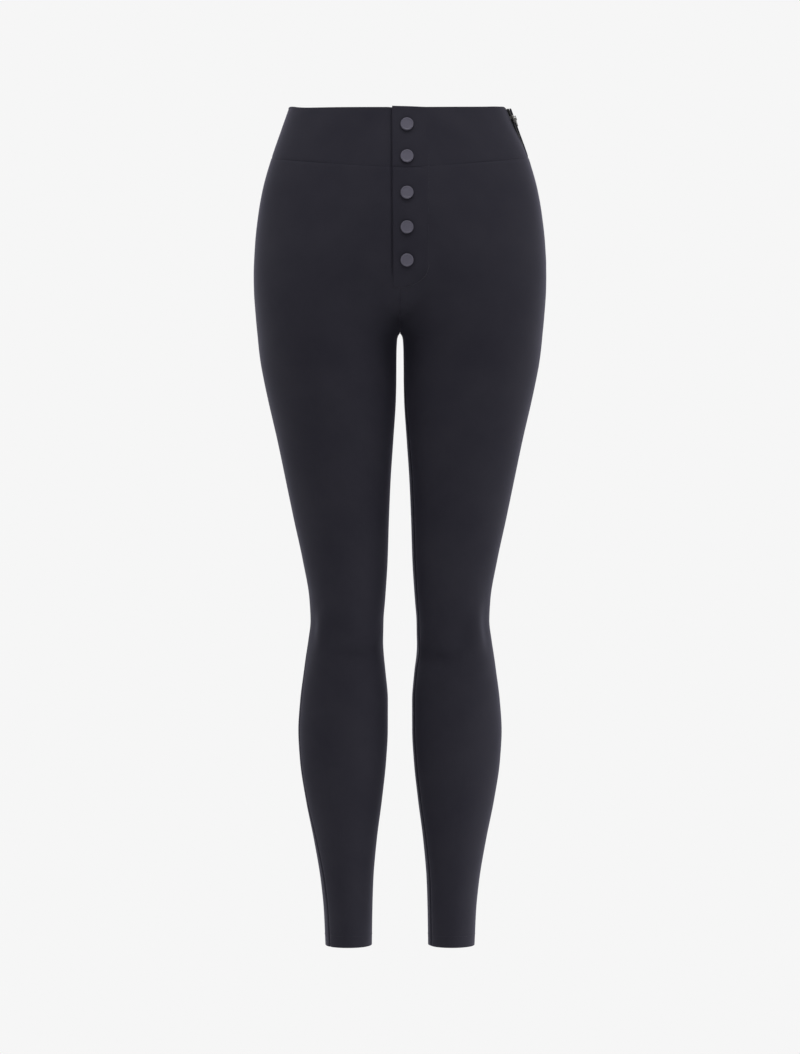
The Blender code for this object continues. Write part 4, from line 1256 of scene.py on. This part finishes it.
def repeatAlong(name, paths, tree, values):
    # a plain mesh of what the tree repeats along paths of (points, normals), in millimetres
    mesh = bpy.data.meshes.new(name + "_path")
    points = np.concatenate([path[0] for path in paths])
    ups = np.concatenate([path[1] for path in paths])
    edges, first = [], 0
    for path in paths:
        edges += [(first + step, first + step + 1) for step in range(len(path[0]) - 1)]
        first += len(path[0])
    mesh.from_pydata((points * mm).tolist(), edges, [])
    attribute = mesh.attributes.new("up", "FLOAT_VECTOR", "POINT")
    attribute.data.foreach_set("vector", ups.astype(float).ravel())
    carrier = addObject(name + "_carrier", mesh)
    modifier = carrier.modifiers.new("repeat", "NODES")
    modifier.node_group = tree
    for item in tree.interface.items_tree:
        if item.in_out == "INPUT" and item.name in values:
            modifier[item.identifier] = values[item.name]
    evaluated = carrier.evaluated_get(bpy.context.evaluated_depsgraph_get())
    result = bpy.data.meshes.new_from_object(evaluated)
    carrier.modifiers.remove(modifier)
    result.name = name
    if "up" in result.attributes:
        result.attributes.remove(result.attributes["up"])
    piece = addObject(name, result)
    bpy.data.objects.remove(carrier)
    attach(piece, trousers)
    return piece


def seamLine(top, bottom, offset, lift):
    # a line beside the side seam, with a point every half millimetre, and the directions away from it
    drops = np.arange(top, bottom, 0.5)[:, None]
    offsets = offset + np.array([-0.5, 0, 0.5])
    points = besideSeam(drops + 0 * offsets, offsets + 0 * drops)
    normals = gridNormals(points, left)
    return (points + normals * lift)[:, 1], normals[:, 1]


coilTree = repeatTree("coil_teeth", toothUnit, nylonMaterial, (
    ("Pitch", sideZip["pitch"] * mm),
    ("Seed", sideZip["seed"]),
    ("Along", sideZip["toothAlong"] * mm),
    ("Across", sideZip["toothAcross"] * mm),
    ("High", sideZip["toothHigh"] * mm),
))


def makeZip():
    top, closedTop, closedEnd = sideZip["top"], sideZip["chainTop"], sideZip["chainEnd"]
    ends = (("front", 1), ("back", -1))
    for name, sign in ends:
        near, far = sign * sideZip["tapeNear"], sign * sideZip["tapeFar"]
        seamStrip(f"zip_tape_{name}_cloth", top, sideZip["tapeEnd"], near, far,
                  sideZip["tapeLift"], sideZip["tapeThick"], "zip_tape_" + name)
    seamStrip("zip_coil_cord", closedTop, closedEnd, -sideZip["cordHalf"], sideZip["cordHalf"],
              sideZip["cordLift"], sideZip["cordThick"])
    half, shift, lift = sideZip["closedAt"], sideZip["pitch"] / 2, sideZip["toothLift"]
    closed = seamLine(closedTop, closedEnd, half, lift), seamLine(closedTop + shift, closedEnd, -half, lift)
    chain = repeatAlong("zip_coil_closed", closed, coilTree, {"Seed": sideZip["seed"]})
    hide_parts("zip_chain")
    for name, sign in ends:
        # above the slider each half of the coil stands on its own corded edge of tape
        near, far = sign * sideZip["openCordNear"], sign * sideZip["openCordFar"]
        seamStrip("zip_cord_open_" + name, top, sideZip["openEnd"] + 1, near, far,
                  sideZip["openCordLift"], sideZip["openCordThick"])
        path = seamLine(top + 0.5, sideZip["openEnd"], sign * sideZip["openAt"], lift)
        teeth = repeatAlong("zip_coil_open_" + name, (path,), coilTree, {
            "Seed": sideZip["openSeed"], "Across": sideZip["openAcross"] * mm,
        })
        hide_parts("zip_teeth_" + name)


# the metal of the zip: node, how far its edges are tumbled round, and the body that it is in
metalRows = (
    ("zip_slider", 0.22, trousers),
    ("zip_stop", 0.25, trousers),
    ("zip_pull", 0.2, pullBody),
)


def metalCopy(node, bevel, body):
    # the solid's own shape, merged, with its edges tumbled round
    shape = bmesh.new()
    shape.from_mesh(nodes[node].data)
    bmesh.ops.remove_doubles(shape, verts=shape.verts, dist=1e-6)
    bmesh.ops.dissolve_limit(shape, angle_limit=math.radians(1), verts=shape.verts, edges=shape.edges)
    bmesh.ops.recalc_face_normals(shape, faces=shape.faces)
    sharp = [edge for edge in shape.edges if edge.is_manifold and edge.calc_face_angle() > math.radians(20)]
    bmesh.ops.bevel(
        shape, geom=sharp, offset=bevel * mm, segments=3, profile=0.5, affect="EDGES", clamp_overlap=True,
    )
    mesh = bpy.data.meshes.new(node + "_metal")
    shape.to_mesh(mesh)
    shape.free()
    mesh.materials.append(nickelMaterial)
    mesh.shade_smooth()
    mesh.set_sharp_from_angle(angle=math.radians(35))
    piece = addObject(node + "_metal", mesh)
    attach(piece, body)
    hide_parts(node)


makeZip()
for node, bevel, body in metalRows:
    metalCopy(node, bevel, body)
print("side zip made")


# the stitches that show, tone on tone
stitch = {
    "length": 2.4,
    "pitch": 3.1,            # stitch and gap
    "radius": 0.14,
    "curveRadius": 0.3,      # round the placket's curve, which is sewn twice
    "bowStart": 20.0,        # degrees at which the bow of a stitch starts on its circle
    "bowSink": 0.36,         # how far its circle is sunk, which dips its ends into the cloth
    "bowRadius": 0.53,       # the circle's radius along the cloth, as a share of the length
    "bowHigh": 2.0,          # and away from it, against the thread's radius
    "sides": 6,
    "placketIn": 0.9,        # from the placket's sewn edge
    "placketTop": 62.0,      # drop of the first of them
    "curveEnd": 1.5,         # where the curve's stitches end, from the free edge
    "above": 0.02,           # how far they lie above the placket
    "seed": 7,
    "hemUp": 13.2,           # from the bottom of each leg
    "hemLength": 1.7,
    "hemPitch": 3.4,
    "hemAbove": 0.03,
    "hemSeed": 11,
}


def stitchUnit(tree, given):
    # one stitch: a bowed thread, both of whose ends dip into the cloth
    start = math.radians(stitch["bowStart"])
    bow = addNode(tree, "GeometryNodeCurveArc", {"mode": "RADIUS"}, {
        "Resolution": 6, "Radius": 1.0, "Start Angle": start, "Sweep Angle": math.pi - 2 * start,
    }).outputs[0]
    stand = addNode(tree, "GeometryNodeTransform", inputs={
        "Geometry": bow, "Rotation": (math.radians(90), 0, 0), "Translation": (0, 0, -stitch["bowSink"]),
    }).outputs[0]
    long = addNode(tree, "ShaderNodeMath", {"operation": "MULTIPLY"}, {
        0: given["Length"], 1: stitch["bowRadius"],
    }).outputs[0]
    high = addNode(tree, "ShaderNodeMath", {"operation": "MULTIPLY"}, {
        0: given["Radius"], 1: stitch["bowHigh"],
    }).outputs[0]
    scale = addNode(tree, "ShaderNodeCombineXYZ", inputs={"X": long, "Y": long, "Z": high}).outputs[0]
    sized = addNode(tree, "GeometryNodeTransform", inputs={"Geometry": stand, "Scale": scale}).outputs[0]
    profile = addNode(tree, "GeometryNodeCurvePrimitiveCircle", {"mode": "RADIUS"}, {
        "Resolution": stitch["sides"], "Radius": given["Radius"],
    }).outputs[0]
    return addNode(tree, "GeometryNodeCurveToMesh", inputs={
        "Curve": sized, "Profile Curve": profile, "Fill Caps": True,
    }).outputs[0]


stitchTree = repeatTree("lockstitches", stitchUnit, threadMaterial, (
    ("Pitch", stitch["pitch"] * mm),
    ("Seed", stitch["seed"]),
    ("Length", stitch["length"] * mm),
    ("Radius", stitch["radius"] * mm),
))


def frontLine(across, drops, lift):
    # a line on the front, and the directions away from it
    wide = across[:, None] + np.array([-0.5, 0, 0.5])
    points = frontSurface(wide, drops[:, None] + 0 * wide)
    sideways = points[:, 2] - points[:, 0]
    downwards = frontSurface(across, drops + 0.5) - frontSurface(across, drops - 0.5)
    normals = np.cross(sideways, downwards)
    normals /= np.linalg.norm(normals, axis=1, keepdims=True)
    normals *= -np.sign(normals[:, 1:2])
    return points[:, 1] + normals * lift[:, None], normals


def placketStitches(curved):
    # down the placket's sewn edge, or round its curve and in to its free edge
    inset = stitch["placketIn"]
    if curved:
        turns = np.radians(np.linspace(0, 90, 80))
        drops = placket["turn"] + (placket["end"] - placket["turn"] - inset) * np.sin(turns)
        across = placket["flat"] + (placket["sewn"] - placket["flat"] - inset) * np.cos(turns)
        inwards = np.linspace(placket["flat"], freeEdge(placket["end"]) + stitch["curveEnd"], 12)[1:]
        drops = np.concatenate([drops, drops[-1] + 0 * inwards])
        across = np.concatenate([across, inwards])
    else:
        drops = np.linspace(stitch["placketTop"], placket["turn"], 400)
        across = np.full(len(drops), placket["sewn"] - inset)
    return frontLine(across, drops, np.maximum(placketLift(across, drops), 0) + stitch["above"])


def hemStitches(side):
    # round one hem, in two lines that stop short of the seams
    paths = []
    rows = garment["length"] - stitch["hemUp"] + np.array([-1.0, 0.0, 1.0])[:, None]
    shares = np.linspace(0, 1, 160)
    for inFront in (True, False):
        grid = panelGrid(side, inFront, rows + 0 * shares, shares)
        lift = foldLift(side, grid["angles"], grid["drops"]) + seamPull(grid["fromSide"])
        lift = lift + seamPull(grid["fromEnd"]) + cloth["ease"] + stitch["hemAbove"]
        points = grid["points"] + grid["normals"] * lift[..., None]
        paths.append((points[1, 2:-2], grid["normals"][1, 2:-2]))
    return paths


for name, curved in (("placket_stitches", False), ("placket_curve_stitches", True)):
    line = repeatAlong(name, [placketStitches(curved)], stitchTree, {
        "Seed": stitch["seed"], "Radius": stitch["curveRadius" if curved else "radius"] * mm,
    })
for side in (right, left):
    line = repeatAlong("hem_stitches_" + sideNames[side], hemStitches(side), stitchTree, {
        "Pitch": stitch["hemPitch"] * mm, "Length": stitch["hemLength"] * mm, "Seed": stitch["hemSeed"],
    })
print("stitches made")


# the studio, in metres: a pale seamless background, lamps overhead, in front, at the left and low at the
# right, and the room's own light, most of which comes from behind
studio = {
    "backdrop": "#F6F6F6",
    "floorDrop": 1.29,
    "floorRadius": 2.6,
    "floorSides": 96,
    "paperTo": 0.5,          # from the floor's middle, where the paper starts to blend into the backdrop
    "backdropFrom": 1.35,    # and where it has
    "fillFront": 0.19,       # the room's light from the front, and from the backdrop behind
    "fillBehind": 1.55,
    "aim": (0.0, 0.0, -0.49),    # the middle of the trousers, which the lamps face
    "camera": (0.0, -5.0, -0.492),
    "lens": 190.7,
}
# where each lamp stands, its size and its power
lampRows = (
    ("lamp_overhead", (0.1, -0.5, 1.1), (1.2, 0.6), 10.4),
    ("lamp_front", (0.3, -1.2, 1.2), (1.6, 0.9), 7.0),
    ("lamp_left", (-2.7, -0.7, 0.1), (1.6, 2.6), 5.6),
    ("lamp_low_right", (0.8, -0.2, -1.15), (0.5, 0.5), 4.0),
)


def seenRays(tree):
    # 1 for the rays that should meet the pale backdrop: camera, glossy and transmission rays
    path = addNode(tree, "ShaderNodeLightPath").outputs
    either = addNode(tree, "ShaderNodeMath", {"operation": "MAXIMUM"}, {
        0: path["Is Camera Ray"], 1: path["Is Glossy Ray"],
    }).outputs[0]
    return addNode(tree, "ShaderNodeMath", {"operation": "MAXIMUM"}, {
        0: either, 1: path["Is Transmission Ray"],
    }).outputs[0]


def makeWorld():
    world = bpy.data.worlds.new("studio_world")
    world.use_nodes = True
    tree = world.node_tree
    tree.nodes.clear()
    way = addNode(tree, "ShaderNodeTexCoord").outputs["Generated"]
    behind = addNode(tree, "ShaderNodeSeparateXYZ", inputs={0: way}).outputs["Y"]
    level = addNode(tree, "ShaderNodeMapRange", inputs={
        "Value": behind,
        "From Min": -1.0,
        "From Max": 1.0,
        "To Min": studio["fillFront"],
        "To Max": studio["fillBehind"],
    }).outputs["Result"]
    light = addNode(tree, "ShaderNodeBackground", inputs={"Color": (1, 1, 1, 1), "Strength": level})
    seen = addNode(tree, "ShaderNodeBackground", inputs={
        "Color": colourOf(studio["backdrop"]), "Strength": 1.0,
    })
    mixed = addNode(tree, "ShaderNodeMixShader", inputs={
        0: seenRays(tree), 1: light.outputs[0], 2: seen.outputs[0],
    })
    output = addNode(tree, "ShaderNodeOutputWorld")
    tree.links.new(mixed.outputs[0], output.inputs["Surface"])
    bpy.context.scene.world = world


def makeFloor():
    material = bpy.data.materials.new("pale_studio_paper")
    material.use_nodes = True
    tree = material.node_tree
    tree.nodes.clear()
    place = addNode(tree, "ShaderNodeTexCoord").outputs["Object"]
    away = addNode(tree, "ShaderNodeVectorMath", {"operation": "LENGTH"}, {0: place}).outputs["Value"]
    far = addNode(tree, "ShaderNodeMapRange", {"interpolation_type": "SMOOTHSTEP"}, {
        "Value": away, "From Min": studio["paperTo"], "From Max": studio["backdropFrom"],
    }).outputs["Result"]
    factor = addNode(tree, "ShaderNodeMath", {"operation": "MULTIPLY"}, {
        0: far, 1: seenRays(tree),
    }).outputs[0]
    pale = colourOf(studio["backdrop"])
    paper = addNode(tree, "ShaderNodeBsdfDiffuse", inputs={"Color": pale})
    plain = addNode(tree, "ShaderNodeEmission", inputs={"Color": pale, "Strength": 1.0})
    mixed = addNode(tree, "ShaderNodeMixShader", inputs={0: factor, 1: paper.outputs[0], 2: plain.outputs[0]})
    output = addNode(tree, "ShaderNodeOutputMaterial")
    tree.links.new(mixed.outputs[0], output.inputs["Surface"])
    radius, sides = studio["floorRadius"], studio["floorSides"]
    turns = np.linspace(0, 2 * math.pi, sides, endpoint=False)
    rim = [(radius * math.cos(turn), radius * math.sin(turn), 0.0) for turn in turns]
    mesh = bpy.data.meshes.new("floor")
    mesh.from_pydata(rim, [], [list(range(sides))])
    mesh.materials.append(material)
    floor = addObject("floor", mesh)
    floor.location = (0, 0, -studio["floorDrop"])


def makeLamps():
    aim = Vector(studio["aim"])
    for name, place, size, power in lampRows:
        light = bpy.data.lights.new(name, "AREA")
        light.shape = "RECTANGLE"
        light.size, light.size_y = size
        light.energy = power
        lamp = addObject(name, light)
        lamp.location = place
        lamp.rotation_euler = (aim - Vector(place)).to_track_quat("-Z", "Y").to_euler()
        lamp.visible_camera = False


def makeCamera():
    data = bpy.data.cameras.new("camera")
    data.sensor_fit = "HORIZONTAL"
    data.sensor_width = 36.0
    data.lens = studio["lens"]
    camera = addObject("camera", data)
    camera.location = studio["camera"]
    camera.rotation_euler = (math.radians(90), 0, 0)
    bpy.context.scene.camera = camera


makeWorld()
makeFloor()
makeLamps()
makeCamera()
bpy.context.scene.view_settings.view_transform = "Standard"
print("studio made")
